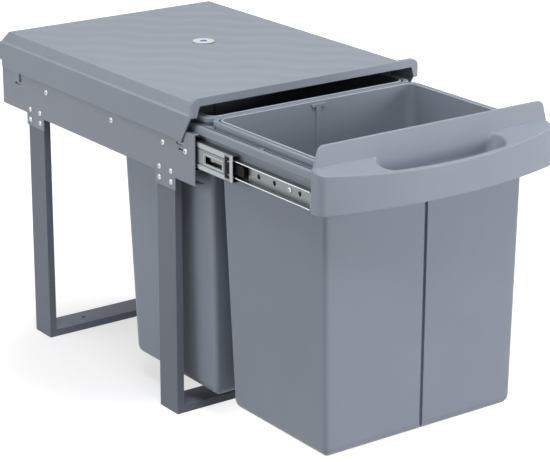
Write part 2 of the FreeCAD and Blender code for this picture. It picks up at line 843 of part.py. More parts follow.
def inner_screw_places():
    """Give the places of the carrier's screws along the slide, with the carrier pushed in."""
    front = s.inner_setback - s.slide_front
    return [front + s.slide_length * share for share in INNER_SCREW_SHARES]


def lever_pivot():
    """Give the place of the lever's pin along the slide, with the carrier pushed in."""
    front = s.inner_setback - s.slide_front
    return front + s.lever_front + s.lever_length - s.lever_pivot_inset


def make_cages(name, back, wall_gap_low, wall_gap_high, reach, front, length, ball_radius, ball_place, shift):
    """Make the ball cages of one stage with a pocket for each ball, and give the balls' places."""
    track_middle = (wall_gap_low + wall_gap_high) / 2
    mouth = plate_inside - reach
    section = channel(back, mouth, track_middle + s.cage_wall / 2, s.cage_wall, None, -1)
    body = new_body("Cage")
    extrude(body, "Pad", draw(body, "XZ_Plane", front, [section]), length, reverse=True)
    across = plate_inside - ball_place
    ball_rows = [length * share - front for share in BALL_SHARES]
    pockets = [(across, along, ball_radius + s.running_clearance) for along in ball_rows]
    pocket_sketch = draw(body, "XY_Plane", s.slide_axis + s.outer_height, circles=pockets)
    extrude(body, "Pocket", pocket_sketch, s.outer_height * 2)
    body.setExpression("Placement.Base.y", shift.text)
    pair(f"{name}_cage", body)
    ball = doc.addObject("Part::Sphere", "Ball")
    ball.setExpression("Radius", ball_radius.text)
    positions = [
        (across * side, along + shift, s.slide_axis + track_middle * row)
        for side in (-1, 1)
        for row in (-1, 1)
        for along in ball_rows
    ]
    group(f"{name}_balls", ball, positions)


def make_ball_cages():
    """Make the cages and balls of both running stages."""
    make_cages("outer", plate_inside - s.track_wall - s.running_clearance,
               s.middle_height / 2, s.outer_height / 2 - s.track_wall, s.outer_cage_reach,
               s.outer_cage_front, s.outer_cage_length,
               s.outer_ball_radius, s.outer_ball_place, outer_cage_out)
    make_cages("inner", plate_inside - s.middle_offset - s.track_wall - s.running_clearance,
               s.inner_height / 2, s.middle_height / 2 - s.track_wall, s.inner_cage_reach,
               s.inner_cage_front, s.inner_cage_length,
               s.inner_ball_radius, s.inner_ball_place, inner_cage_out)


def make_release_levers():
    """Make the black levers that free the carrier from its slides, and their pins."""
    body = new_body("Lever")
    front = s.inner_setback - s.slide_front + s.lever_front
    rear = front + s.lever_length
    neck = front + s.lever_head_length
    half = s.lever_height / 2
    head_half = s.lever_head_height / 2
    outline = [(front, s.slide_axis - head_half), (neck, s.slide_axis - head_half),
               (neck, s.slide_axis - half), (rear, s.slide_axis - half),
               (rear, s.slide_axis + half), (neck, s.slide_axis + half),
               (neck, s.slide_axis + head_half), (front, s.slide_axis + head_half)]
    low = plate_inside - s.lever_offset - s.lever_thickness
    extrude(body, "Pad", draw(body, "YZ_Plane", low, [outline]), s.lever_thickness)
    fillet(body, s.lever_nose_radius, lambda bounds: near(bounds.XLength, s.lever_thickness)
           and not near(bounds.YMin, neck))
    hole = [(lever_pivot(), s.slide_axis, s.lever_pin_radius + s.fit_clearance)]
    extrude(body, "Pocket", draw(body, "YZ_Plane", low + s.lever_thickness + s.overrun, circles=hole),
            s.lever_thickness + s.overrun * 2)
    body.setExpression("Placement.Base.y", pulled_out.text)
    pair("release_lever", body)
    head = low + s.lever_thickness + s.running_clearance
    pin = fuse([
        rod(s.lever_pin_radius, (slide_inside, 0, 0),
            head - slide_inside + s.lever_pin_head_height, (1, 0, 0)),
        rod(s.lever_pin_head_radius, (head, 0, 0), s.lever_pin_head_height, (1, 0, 0)),
        rod(s.lever_pin_head_radius, (slide_inside + s.track_wall, 0, 0),
            low - s.running_clearance - slide_inside - s.track_wall, (1, 0, 0)),
    ])
    two_sided("lever_pins", pin, [(0, lever_pivot() + pulled_out, s.slide_axis)])


# Carrier, bins and front panel. Their sizes along Y are set out with the carrier pushed in.

carrier_front = s.inner_setback - s.slide_front - s.carrier_lead
front_bin_front = carrier_front + s.carrier_margin_front + s.rim_end
rear_bin_front = front_bin_front + s.bin_depth + s.rim_end * 2 + s.rim_gap
carrier_rear = rear_bin_front + s.bin_depth + s.rim_end + s.carrier_margin_rear
bin_half = s.bin_width / 2
panel_screw_places = [
    ((slide_inside - s.panel_screw_inset) * turn, s.rail_top - s.panel_screw_drop) for turn in (-1, 1)
]


def make_carrier():
    """Mould the carrier: a deck with two openings and lugs, side skirts, end walls and a divider."""
    body = new_body("Carrier")
    rail_half = slide_inside + s.rail_overhang
    deck_low = s.rail_top - s.rail_height
    deck = rounded_rectangle(rail_half, carrier_front, carrier_rear, s.rail_corner_radius)
    extrude(body, "Pad", draw(body, "XY_Plane", deck_low, [deck]), s.rail_height)
    fillet(body, s.rail_radius, level_at(s.rail_top))
    wall = s.skirt_wall
    ring = [rectangle(-slide_inside, slide_inside, carrier_front, carrier_rear),
            rectangle(-slide_inside + wall, slide_inside - wall, carrier_front + wall, carrier_rear - wall)]
    extrude(body, "Pad", draw(body, "XY_Plane", s.skirt_bottom, ring), deck_low - s.skirt_bottom)
    divider_middle = rear_bin_front - s.rim_end - s.rim_gap / 2
    divider = rectangle(-slide_inside, slide_inside, divider_middle - wall / 2, divider_middle + wall / 2)
    extrude(body, "Pad", draw(body, "XY_Plane", s.divider_bottom, [divider]), deck_low - s.divider_bottom)
    gap = s.bin_clearance
    openings = [
        rounded_rectangle(bin_half + gap, front - gap, front + s.bin_depth + gap, s.bin_corner_radius)
        for front in (front_bin_front, rear_bin_front)
    ]
    opening_sketch = draw(body, "XY_Plane", s.rail_top + s.overrun, openings)
    extrude(body, "Pocket", opening_sketch, s.rail_height + s.overrun)
    groove_outer = rail_half - s.rail_radius
    groove_inner = groove_outer - s.rail_groove_width
    grooves = [
        rectangle(groove_inner * turn, groove_outer * turn, carrier_front + s.rail_corner_radius,
                  carrier_rear - s.rail_corner_radius)
        for turn in (-1, 1)
    ]
    groove_sketch = draw(body, "XY_Plane", s.rail_top + s.overrun, grooves)
    extrude(body, "Pocket", groove_sketch, s.rail_groove_depth + s.overrun)
    lug_half = s.rail_lug_length / 2
    lugs = [
        rectangle((groove_inner - s.rail_lug_margin) * turn, (groove_outer + s.rail_lug_margin) * turn,
                  front + s.bin_depth / 2 - lug_half, front + s.bin_depth / 2 + lug_half)
        for turn in (-1, 1)
        for front in (front_bin_front, rear_bin_front)
    ]
    lug_sketch = draw(body, "XY_Plane", s.rail_top - s.rail_groove_depth, lugs)
    extrude(body, "Pad", lug_sketch, s.rail_groove_depth + s.rail_lug_rise)
    side_holes = [(along, s.slide_axis, s.screw_radius + s.fit_clearance) for along in inner_screw_places()]
    side_holes.append((lever_pivot(), s.slide_axis, s.lever_pin_radius + s.fit_clearance))
    side_sketch = draw(body, "YZ_Plane", 0, circles=side_holes + web_holes())
    extrude(body, "Pocket", side_sketch, s.frame_width, both_ways=True)
    front_holes = [(across, up, s.screw_radius + s.fit_clearance) for across, up in panel_screw_places]
    front_sketch = draw(body, "XZ_Plane", -carrier_front + s.overrun, circles=front_holes)
    extrude(body, "Pocket", front_sketch, s.overrun * 2)
    body.setExpression("Placement.Base.y", pulled_out.text)
    keep("carrier_frame", body)


def make_carrier_screws():
    """Make the screws of the inner members and those of the front panel."""
    web_face = slide_inside + s.track_wall
    depth = s.track_wall + s.skirt_wall
    screw = fuse([
        rod(s.screw_radius, (web_face - depth, 0, 0), depth + s.screw_head_height, (1, 0, 0)),
        rod(s.screw_head_radius, (web_face, 0, 0), s.screw_head_height, (1, 0, 0)),
    ])
    two_sided("inner_screws", screw, [
        (0, along + pulled_out, s.slide_axis) for along in inner_screw_places()
    ])
    head_face = carrier_front + s.skirt_wall
    panel_screw = fuse([
        rod(s.screw_radius, (0, head_face - s.panel_screw_length, 0),
            s.panel_screw_length + s.screw_head_height, (0, 1, 0)),
        rod(s.screw_head_radius, (0, head_face, 0), s.screw_head_height, (0, 1, 0)),
    ])
    group("panel_screws", panel_screw, [(across, pulled_out, up) for across, up in panel_screw_places])


def make_bin(label, front):
    """Mould one bin: a tub with an upright front and drawn-in sides, a double rim, a seam and a rib."""
    rear = front + s.bin_depth
    height = s.bin_rim_top - s.bin_bottom
    wall = s.bin_wall

    def walls_at(level, inset):
        """Give the front, the rear and the half width of the tub at a height, drawn in by an inset."""
        drop = (s.bin_rim_top - level) / height
        return (front + inset, rear - s.bin_rear_setback * drop - inset,
                bin_half - s.bin_side_setback * drop - inset)

    def tub(low, high, inset, radius):
        """Make a tapered block with round corners and a round foot."""
        body = new_body("Tub")
        low_front, low_rear, low_half = walls_at(low, inset)
        high_front, high_rear, high_half = walls_at(high, inset)
        side_view = [(low_front, low), (low_rear, low), (high_rear, high), (high_front, high)]
        extrude(body, "Pad", draw(body, "YZ_Plane", 0, [side_view]), high_half * 2, both_ways=True)
        wedges = []
        for turn in (-1, 1):
            outside = (high_half + s.overrun) * turn
            wedges.append([(low_half * turn, low), (high_half * turn, high), (outside, high), (outside, low)])
        wedge_sketch = draw(body, "XZ_Plane", -front - s.bin_depth / 2, wedges)
        extrude(body, "Pocket", wedge_sketch, s.bin_depth * 2, both_ways=True)
        at_foot = level_at(low)
        fillet(body, radius, lambda bounds: near(bounds.ZLength, high - low) or at_foot(bounds))
        return body

    def upright_strip(name, low, high, low_places, high_places, width):
        """Make a strip about the middle plane between two heights, from a near to a far place at each."""
        body = new_body(name)
        low_near, low_far = low_places
        high_near, high_far = high_places
        side_view = [(low_near, low), (low_far, low), (high_far, high), (high_near, high)]
        extrude(body, "Pad", draw(body, "YZ_Plane", 0, [side_view]), width, both_ways=True)
        return body

    groove_floor = s.bin_rim_top - s.rim_groove_depth
    solid = fuse([tub(s.bin_bottom, groove_floor, 0, s.bin_corner_radius), make_rim(front, rear)])
    cavity = tub(s.bin_bottom + wall, s.bin_rim_top + s.overrun, wall, s.bin_corner_radius - wall)
    low = s.bin_bottom + s.seam_foot
    groove_back = front + s.seam_depth
    groove_places = (front - s.overrun, groove_back)
    groove = upright_strip("Seam", s.bin_bottom - s.overrun, s.seam_top, groove_places, groove_places,
                           s.seam_width)
    ridge_places = (front + s.seam_depth / 2, groove_back + wall)
    ridge = upright_strip("Ridge", low, s.seam_top + wall, ridge_places, ridge_places,
                          s.seam_width + wall * 2)
    _, rear_low, _ = walls_at(low, wall / 2)
    _, rear_high, _ = walls_at(groove_floor, wall / 2)
    reach = wall / 2 + s.rib_height
    rib = upright_strip("Rib", low, groove_floor, (rear_low - reach, rear_low),
                        (rear_high - reach, rear_high), s.rib_width)
    fillet(rib, s.rib_radius, lambda bounds: near(bounds.ZLength, groove_floor - low)
           and near(bounds.YMax, rear_high - reach))
    head_low = groove_floor - s.rib_head_height
    _, head_rear, _ = walls_at(head_low, wall / 2)
    rib_head = upright_strip("RibHead", head_low, groove_floor, (head_rear - reach, head_rear),
                             (rear_high - reach, rear_high), s.rib_head_width)
    bin_piece = cut(fuse([cut(solid, [cavity]), ridge, rib, rib_head]), [groove])
    bin_piece.setExpression("Placement.Base.y", pulled_out.text)
    keep(label, bin_piece)


def make_rim(front, rear):
    """Make the rim turned outwards: an inner bead, a groove round it and a lip with a stand under it."""
    body = new_body("Rim")
    wall = s.bin_wall
    plate_low = s.bin_rim_top - s.rim_groove_depth - wall

    def ring(side, end, radius):
        """Give the outline that far outside the tub's rim."""
        return rounded_rectangle(bin_half + side, front - end, rear + end, radius)

    def near_ring(reach):
        """Give the outline that runs along the tub's rim."""
        return ring(reach, reach, s.bin_corner_radius + reach)

    def lip_ring(inset):
        """Give the outline that runs along the lip, that far inside its edge."""
        return ring(s.rim_side - inset, s.rim_end - inset, s.rim_corner_radius - inset)

    lip = draw(body, "XY_Plane", plate_low, [lip_ring(0)])
    extrude(body, "Pad", lip, s.bin_rim_top - plate_low)
    stand = draw(body, "XY_Plane", s.rail_top, [lip_ring(s.rim_undercut), lip_ring(s.rim_undercut + wall)])
    extrude(body, "Pad", stand, plate_low - s.rail_top)
    groove = [near_ring(s.rim_bead + s.rim_groove_width), near_ring(s.rim_bead)]
    extrude(body, "Pocket", draw(body, "XY_Plane", s.bin_rim_top, groove), s.rim_groove_depth)
    fillet(body, s.rim_radius, level_at(s.bin_rim_top))
    return body


def make_scoop(rear, edge, bow_radius):
    """Make the block that hollows the finger scoop, with sloping round ends and a round floor."""
    body = new_body("Scoop")
    half = s.scoop_width / 2
    inner_radius = bow_radius - s.scoop_lip
    end = edge + bow_radius - (inner_radius * inner_radius - half * half).root()
    plan = [(half, rear), (-half, rear), (-half, end, inner_radius), (half, end)]
    height = s.panel_ledge + s.overrun - s.scoop_floor
    extrude(body, "Pad", draw(body, "XY_Plane", s.scoop_floor, [plan]), height)
    low_half = half - s.scoop_ramp
    ramps = []
    for turn in (-1, 1):
        outside = (half + s.overrun) * turn
        ramps.append([(low_half * turn, s.scoop_floor), (half * turn, s.panel_ledge),
                      (outside, s.panel_ledge), (outside, s.scoop_floor)])
    ramp_sketch = draw(body, "XZ_Plane", -edge, ramps)
    extrude(body, "Pocket", ramp_sketch, s.panel_depth * 2, both_ways=True)
    fillet(body, s.scoop_end_radius, lambda bounds: near(bounds.ZMin, s.scoop_floor)
           and near(bounds.ZMax, s.panel_ledge))
    fillet(body, s.scoop_floor_radius, level_at(s.scoop_floor))
    return body


def make_front_panel():
    """Mould the front panel: a bowed front below an upright back, with a sloping ledge and a finger scoop."""
    body = new_body("FrontPanel")
    half = s.panel_width / 2
    bow = s.panel_depth - s.panel_end_depth
    bow_radius = (half * half + bow * bow) / (bow * 2)
    rear = carrier_front
    front_end = rear - s.panel_end_depth
    plan = [(half, rear), (-half, rear), (-half, front_end, bow_radius), (half, front_end)]
    plan_height = s.panel_ledge - s.panel_bottom
    extrude(body, "Pad", draw(body, "XY_Plane", s.panel_bottom, [plan]), plan_height)
    fillet(body, s.panel_corner_radius, upright_at(half, front_end))
    plate_face = rear - s.panel_back
    edge = rear - s.panel_depth
    slope = s.panel_ledge_drop / (s.panel_depth - s.panel_back)
    tip_height = s.panel_ledge - s.panel_ledge_drop - s.overrun * slope
    ledge = [(plate_face, s.panel_ledge), (plate_face, s.panel_ledge + s.overrun),
             (edge - s.overrun, s.panel_ledge + s.overrun), (edge - s.overrun, tip_height)]
    extrude(body, "Pocket", draw(body, "YZ_Plane", 0, [ledge]), s.panel_width * 2, both_ways=True)
    top_half = half - s.panel_top_inset
    shoulder_half = half - s.panel_shoulder_inset
    back = [(-shoulder_half, s.panel_bottom), (shoulder_half, s.panel_bottom), (shoulder_half, s.panel_ledge),
            (top_half, s.panel_top), (-top_half, s.panel_top), (-shoulder_half, s.panel_ledge)]
    extrude(body, "Pad", draw(body, "XZ_Plane", -rear, [back]), s.panel_back)
    fillet(body, s.panel_top_radius, lambda bounds: near(bounds.YLength, s.panel_back)
           and near(bounds.ZMin, s.panel_top) and bounds.XLength < s.pick_tolerance.value)
    hollowing = body.newObject("PartDesign::Boolean", "Hollowing")
    hollowing.Type = "Cut"
    hollowing.addObjects([make_scoop(plate_face, edge, bow_radius)])
    doc.recompute()

    def on_ledge(bounds):
        """Say whether an edge lies in the sloping ledge."""
        low = s.panel_ledge - slope * (plate_face - bounds.YMin)
        high = s.panel_ledge - slope * (plate_face - bounds.YMax)
        return near(bounds.ZMin, low) and near(bounds.ZMax, high)

    scoop_front = edge + s.scoop_lip
    fillet(body, s.scoop_rim_radius, lambda bounds: on_ledge(bounds) and near(bounds.YMin, scoop_front))
    fillet(body, s.panel_edge_radius, lambda bounds: on_ledge(bounds) and near(bounds.YMin, edge))
    hollow_half = half - s.panel_hollow_margin
    hollow_bow = (hollow_half * hollow_half) / (bow_radius * 2)
    hollow_end = edge + s.panel_wall + hollow_bow
    hollow = [(hollow_half, rear - s.panel_wall), (-hollow_half, rear - s.panel_wall),
              (-hollow_half, hollow_end, bow_radius), (hollow_half, hollow_end)]
    hollow_sketch = draw(body, "XY_Plane", s.panel_bottom - s.overrun, [hollow])
    extrude(body, "Pocket", hollow_sketch, s.panel_hollow_rise + s.overrun, reverse=True)
    screw_holes = [(across, up, s.screw_radius + s.fit_clearance) for across, up in panel_screw_places]
    hole_sketch = draw(body, "XZ_Plane", -rear - s.overrun, circles=screw_holes)
    extrude(body, "Pocket", hole_sketch, s.panel_screw_length + s.overrun, reverse=True)
    body.setExpression("Placement.Base.y", pulled_out.text)
    keep("front_panel", body)


def write_parts():
    """Check every object and every finished piece, then write one file for each piece."""
    doc.recompute()
    failed = [item.Label for item in doc.Objects if {"Invalid", "Error"} & set(item.State)]
    if failed:
        raise RuntimeError(f"objects that failed: {failed}")
    for label, piece in nodes.items():
        if piece.Shape.isNull() or not piece.Shape.isValid() or not piece.Shape.Solids:
            raise RuntimeError(f"{label} has no valid solid")
    os.makedirs("parts", exist_ok=True)
    for label, piece in nodes.items():
        piece.Shape.exportStep(f"parts/{label}.step")
        bounds = piece.Shape.BoundBox
        corner_low = [round(number, 1) for number in (bounds.XMin, bounds.YMin, bounds.ZMin)]
        corner_high = [round(number, 1) for number in (bounds.XMax, bounds.YMax, bounds.ZMax)]
        print(f"{label}: {len(piece.Shape.Solids)} solids, {corner_low} to {corner_high}, "
              f"{piece.Shape.Volume / 1000:.1f} cm3")


make_legs()
make_side_plates()
make_chassis_fasteners()
make_lid()
make_outer_members()
make_middle_members()
make_inner_members()
make_ball_cages()
make_release_levers()
make_carrier()
make_carrier_screws()
make_bin("front_bin", front_bin_front)
make_bin("rear_bin", rear_bin_front)
make_front_panel()
write_parts()
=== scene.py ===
import logging
import math
from dataclasses import dataclass, field
from enum import Enum
from typing import Dict, List, Optional, Sequence, Tuple, Union

import bmesh
import bpy
from mathutils import Euler, Matrix, Vector


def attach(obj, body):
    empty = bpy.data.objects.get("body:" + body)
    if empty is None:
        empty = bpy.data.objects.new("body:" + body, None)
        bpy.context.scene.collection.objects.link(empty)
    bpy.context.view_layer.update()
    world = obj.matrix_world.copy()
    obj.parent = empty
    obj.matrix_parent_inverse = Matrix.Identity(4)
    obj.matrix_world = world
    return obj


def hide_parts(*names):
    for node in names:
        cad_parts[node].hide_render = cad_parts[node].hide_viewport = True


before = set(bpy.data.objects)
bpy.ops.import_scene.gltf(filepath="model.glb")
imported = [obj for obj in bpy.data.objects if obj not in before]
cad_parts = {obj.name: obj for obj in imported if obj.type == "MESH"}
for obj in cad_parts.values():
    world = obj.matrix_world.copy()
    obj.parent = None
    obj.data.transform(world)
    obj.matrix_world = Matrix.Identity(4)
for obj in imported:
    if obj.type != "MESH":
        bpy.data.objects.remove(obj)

log = logging.getLogger("recycling_bin")

Colour = Tuple[float, float, float]
Place = Tuple[float, float, float]
Span = Tuple[float, float]
Profile = Sequence[Tuple[float, float]]

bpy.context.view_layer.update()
PHOTO_WIDTH = 550
PHOTO_HEIGHT = 462
MM = 0.001
MERGE_DISTANCE = 0.001 * MM
SHARP_ANGLE = math.radians(35.0)
BEVEL_STEPS = 2
EDGE_SAMPLES = 4
# Samples of the ambient occlusion that places the painted shade in grooves
GROOVE_SHADE_SAMPLES = 6
WHITE = (1.0, 1.0, 1.0, 1.0)

# Turns a flat sheet upright, so that it faces right with its length along Y
FACING_RIGHT = Matrix(((0, 0, 1, 0), (1, 0, 0, 0), (0, 1, 0, 0), (0, 0, 0, 1)))

# Noise of the surface effects, and the ranges that the masks of painted edge highlight and painted groove
# shade spread out
GRAIN_NOISE = {"Detail": 3.0, "Roughness": 0.6}
TONE_NOISE = {"Detail": 4.0, "Roughness": 0.55}
STREAK_NOISE = {"Scale": 1.0, "Detail": 2.0}
STREAK_STRETCH = (900.0, 8.0, 900.0)
EDGE_HIGHLIGHT_RANGE = (0.995, 0.8)
GROOVE_SHADE_RANGE = (0.8, 0.45)


class Grain(Enum):
    """Surface grains: texture scale per metre and height in metres."""

    MOULDED = (1500.0, 0.00005)
    BIN_WALL = (1900.0, 0.00003)
    POWDER = (2600.0, 0.00004)
    ZINC = (420.0, 0.00001)
    POLISHED = (300.0, 0.000002)
    PAPER = (3200.0, 0.00001)

    @property
    def scale(self) -> float:
        """Give the texture scale per metre."""
        return self.value[0]

    @property
    def height(self) -> float:
        """Give the height of the grain in metres."""
        return self.value[1]


class Body(Enum):
    """Bodies of the frame that carry new pieces."""

    CHASSIS = "chassis"
    PULL_OUT = "pull_out"
    MIDDLE = "middle_members"


# Shared shader effects

def new_group(name: str, inputs: Dict[str, str], outputs: Dict[str, str]) -> bpy.types.ShaderNodeTree:
    """Make an empty shader node group.

    Args:
        name: Name of the group.
        inputs: Socket types by the inputs' names.
        outputs: Socket types by the outputs' names.

    Returns:
        The group with its input and output nodes, named after their roles.
    """
    group = bpy.data.node_groups.new(name, "ShaderNodeTree")
    for label, kind in inputs.items():
        group.interface.new_socket(name=label, in_out="INPUT", socket_type=kind)
    for label, kind in outputs.items():
        group.interface.new_socket(name=label, in_out="OUTPUT", socket_type=kind)
    group.nodes.new("NodeGroupInput").name = "In"
    group.nodes.new("NodeGroupOutput").name = "Out"
    return group


def add_node(tree: bpy.types.NodeTree, kind: str, values: Optional[Dict[Union[str, int], object]] = None,
             **settings) -> bpy.types.Node:
    """Add a node, then set its properties and the values of its sockets.

    Args:
        tree: Node tree that gets the node.
        kind: Type of the node.
        values: Values of input sockets by name or number.
        settings: Properties of the node by name.

    Returns:
        The new node.
    """
    node = tree.nodes.new(kind)
    for label, setting in settings.items():
        setattr(node, label, setting)
    for label, value in (values or {}).items():
        node.inputs[label].default_value = value
    return node


def add_range(tree: bpy.types.NodeTree, value: bpy.types.NodeSocket, source: Span, target: Span = (0.0, 1.0),
              interpolation: str = "LINEAR") -> bpy.types.NodeSocket:
    """Map a value from one range to another, held at the ends.

    Args:
        tree: Node tree that gets the node.
        value: Socket with the value.
        source: Ends of the range that the value runs through.
        target: Ends of the range that it is mapped to.
        interpolation: Kind of the change between the ends.

    Returns:
        Socket with the mapped value.
    """
    ends = {"From Min": source[0], "From Max": source[1], "To Min": target[0], "To Max": target[1]}
    node = add_node(tree, "ShaderNodeMapRange", ends, interpolation_type=interpolation)
    tree.links.new(value, node.inputs["Value"])
    return node.outputs["Result"]


def add_mix(tree: bpy.types.NodeTree, share: bpy.types.NodeSocket, base: bpy.types.NodeSocket,
            colour: Sequence[float]) -> bpy.types.NodeSocket:
    """Mix a colour into a base colour.

    Args:
        tree: Node tree that gets the node.
        share: Socket with the share of the colour.
        base: Socket with the base colour.
        colour: The colour that is mixed in.

    Returns:
        Socket with the mixed colour.
    """
    node = add_node(tree, "ShaderNodeMix", {"B": colour}, data_type="RGBA")
    tree.links.new(share, node.inputs["Factor"])
    tree.links.new(base, node.inputs["A"])
    return node.outputs["Result"]


def cleared_tree(owner: Union[bpy.types.Material, bpy.types.World]) -> bpy.types.NodeTree:
    """Turn on the nodes of a material or world and clear them away."""
    owner.use_nodes = True
    owner.node_tree.nodes.clear()
    return owner.node_tree


def make_grain_group() -> bpy.types.ShaderNodeTree:
    """Make the effect that gives fine grain, and a broad slow change of tone.

    Returns:
        Group with Vector, Scale and Tone Scale in, Grain and Tone out.
    """
    group = new_group("surface_grain",
                      {"Vector": "NodeSocketVector", "Scale": "NodeSocketFloat",
                       "Tone Scale": "NodeSocketFloat"},
                      {"Grain": "NodeSocketFloat", "Tone": "NodeSocketFloat"})
    source, result = group.nodes["In"], group.nodes["Out"]
    link = group.links.new
    for noise, scale, output in ((GRAIN_NOISE, "Scale", "Grain"), (TONE_NOISE, "Tone Scale", "Tone")):
        texture = add_node(group, "ShaderNodeTexNoise", noise)
        link(source.outputs["Vector"], texture.inputs["Vector"])
        link(source.outputs[scale], texture.inputs["Scale"])
        link(texture.outputs["Fac"], result.inputs[output])
    return group


def make_edge_highlight_group() -> bpy.types.ShaderNodeTree:
    """Make the mask of painted edge highlights, which finds edges where the rounded normal leaves the plain
    one.

    Returns:
        Group with Rounded and Plain normals in and the Edge Highlight mask out.
    """
    group = new_group("painted_edge_highlight_mask",
                      {"Rounded": "NodeSocketVector", "Plain": "NodeSocketVector"},
                      {"Edge": "NodeSocketFloat"})
    source, result = group.nodes["In"], group.nodes["Out"]
    dot = add_node(group, "ShaderNodeVectorMath", operation="DOT_PRODUCT")
    link = group.links.new
    link(source.outputs["Rounded"], dot.inputs[0])
    link(source.outputs["Plain"], dot.inputs[1])
    link(add_range(group, dot.outputs["Value"], EDGE_HIGHLIGHT_RANGE), result.inputs["Edge"])
    return group


def make_groove_shade_group() -> bpy.types.ShaderNodeTree:
    """Make the mask of painted shade, which finds grooves and holes where little light reaches the surface.

    Returns:
        Group with the Open share in and the Painted Shade mask out.
    """
    group = new_group("painted_groove_shade", {"Open": "NodeSocketFloat"}, {"Painted Shade": "NodeSocketFloat"})
    source, result = group.nodes["In"], group.nodes["Out"]
    group.links.new(add_range(group, source.outputs["Open"], GROOVE_SHADE_RANGE), result.inputs["Painted Shade"])
    return group


def make_streak_group() -> bpy.types.ShaderNodeTree:
    """Make the effect of drawn metal, fine lines along the slides.

    Returns:
        Group with Vector in and Streak out.
    """
    group = new_group("drawn_streaks", {"Vector": "NodeSocketVector"}, {"Streak": "NodeSocketFloat"})
    source, result = group.nodes["In"], group.nodes["Out"]
    stretch = add_node(group, "ShaderNodeMapping", {"Scale": STREAK_STRETCH})
    lines = add_node(group, "ShaderNodeTexNoise", STREAK_NOISE)
    link = group.links.new
    link(source.outputs["Vector"], stretch.inputs["Vector"])
    link(stretch.outputs["Vector"], lines.inputs["Vector"])
    link(lines.outputs["Fac"], result.inputs["Streak"])
    return group


@dataclass(frozen=True)
class Effects:
    """The shared shader effects."""

    grain: bpy.types.ShaderNodeTree
    edge: bpy.types.ShaderNodeTree
    groove_shade: bpy.types.ShaderNodeTree
    streak: bpy.types.ShaderNodeTree


# Finishes

@dataclass(frozen=True)
class Finish:
    """A finish of one material slot: colour, gloss, grain, painted highlights on edges and painted shade in
    grooves.
    """

    slot: str
    colour: Colour
    roughness: float
    grain: Grain
    tone_spread: float = 0.05
    tone_scale: float = 14.0
    roughness_spread: float = 0.06
    # The next field paints a highlight on the edges; the radius after it also rounds the edges' normals.
    edge_highlight_lift: float = 0.4
    edge_radius: float = 0.9 * MM
    # The next two fields paint shade into grooves and holes.
    groove_shade_reach: float = 5.0 * MM
    groove_shade_darkness: float = 0.55
    specular: float = 0.5
    metallic: float = 0.0
    streak_spread: float = 0.0

    def shade(self, factor: float) -> Tuple[float, float, float, float]:
        """Give the colour, lighter or darker by a factor."""
        red, green, blue = (min(channel * factor, 1.0) for channel in self.colour)
        return (red, green, blue, 1.0)

    def build(self, effects: Effects) -> bpy.types.Material:
        """Make the material.

        Args:
            effects: The shared shader effects.

        Returns:
            A node material on Object coordinates.
        """
        material = bpy.data.materials.new(self.slot)
        tree = cleared_tree(material)
        link = tree.links.new
        output = add_node(tree, "ShaderNodeOutputMaterial")
        surface = add_node(tree, "ShaderNodeBsdfPrincipled",
                           {"Metallic": self.metallic, "Specular IOR Level": self.specular})
        link(surface.outputs["BSDF"], output.inputs["Surface"])
        place = add_node(tree, "ShaderNodeTexCoord")
        grain = add_node(tree, "ShaderNodeGroup", {"Scale": self.grain.scale, "Tone Scale": self.tone_scale},
                         node_tree=effects.grain)
        link(place.outputs["Object"], grain.inputs["Vector"])
        rounded = add_node(tree, "ShaderNodeBevel", {"Radius": self.edge_radius}, samples=EDGE_SAMPLES)
        geometry = add_node(tree, "ShaderNodeNewGeometry")
        edge = add_node(tree, "ShaderNodeGroup", node_tree=effects.edge)
        link(rounded.outputs["Normal"], edge.inputs["Rounded"])
        link(geometry.outputs["Normal"], edge.inputs["Plain"])
        tones = {"A": self.shade(1.0 - self.tone_spread), "B": self.shade(1.0 + self.tone_spread)}
        tone = add_node(tree, "ShaderNodeMix", tones, data_type="RGBA")
        link(grain.outputs["Tone"], tone.inputs["Factor"])
        # Painted highlight: the edges are lightened.
        edge_highlighted = add_mix(tree, edge.outputs["Edge"], tone.outputs["Result"], self.shade(1.0 + self.edge_highlight_lift))
        # Painted shade: grooves and holes are darkened where ambient occlusion finds them.
        around = add_node(tree, "ShaderNodeAmbientOcclusion", {"Distance": self.groove_shade_reach},
                          samples=GROOVE_SHADE_SAMPLES, only_local=True)
        groove_shade = add_node(tree, "ShaderNodeGroup", node_tree=effects.groove_shade)
        link(around.outputs["AO"], groove_shade.inputs["Open"])
        groove_shaded = add_mix(tree, groove_shade.outputs["Painted Shade"], edge_highlighted, self.shade(self.groove_shade_darkness))
        link(groove_shaded, surface.inputs["Base Color"])
        if self.streak_spread:
            streak = add_node(tree, "ShaderNodeGroup", node_tree=effects.streak)
            link(place.outputs["Object"], streak.inputs["Vector"])
            pattern = streak.outputs["Streak"]
        else:
            pattern = grain.outputs["Grain"]
        spread = max(self.roughness_spread, self.streak_spread)
        gloss = add_range(tree, pattern, (0.0, 1.0), (self.roughness - spread, self.roughness + spread))
        link(gloss, surface.inputs["Roughness"])
        bump = add_node(tree, "ShaderNodeBump", {"Strength": 1.0, "Distance": self.grain.height})
        link(grain.outputs["Grain"], bump.inputs["Height"])
        link(rounded.outputs["Normal"], bump.inputs["Normal"])
        link(bump.outputs["Normal"], surface.inputs["Normal"])
        return material


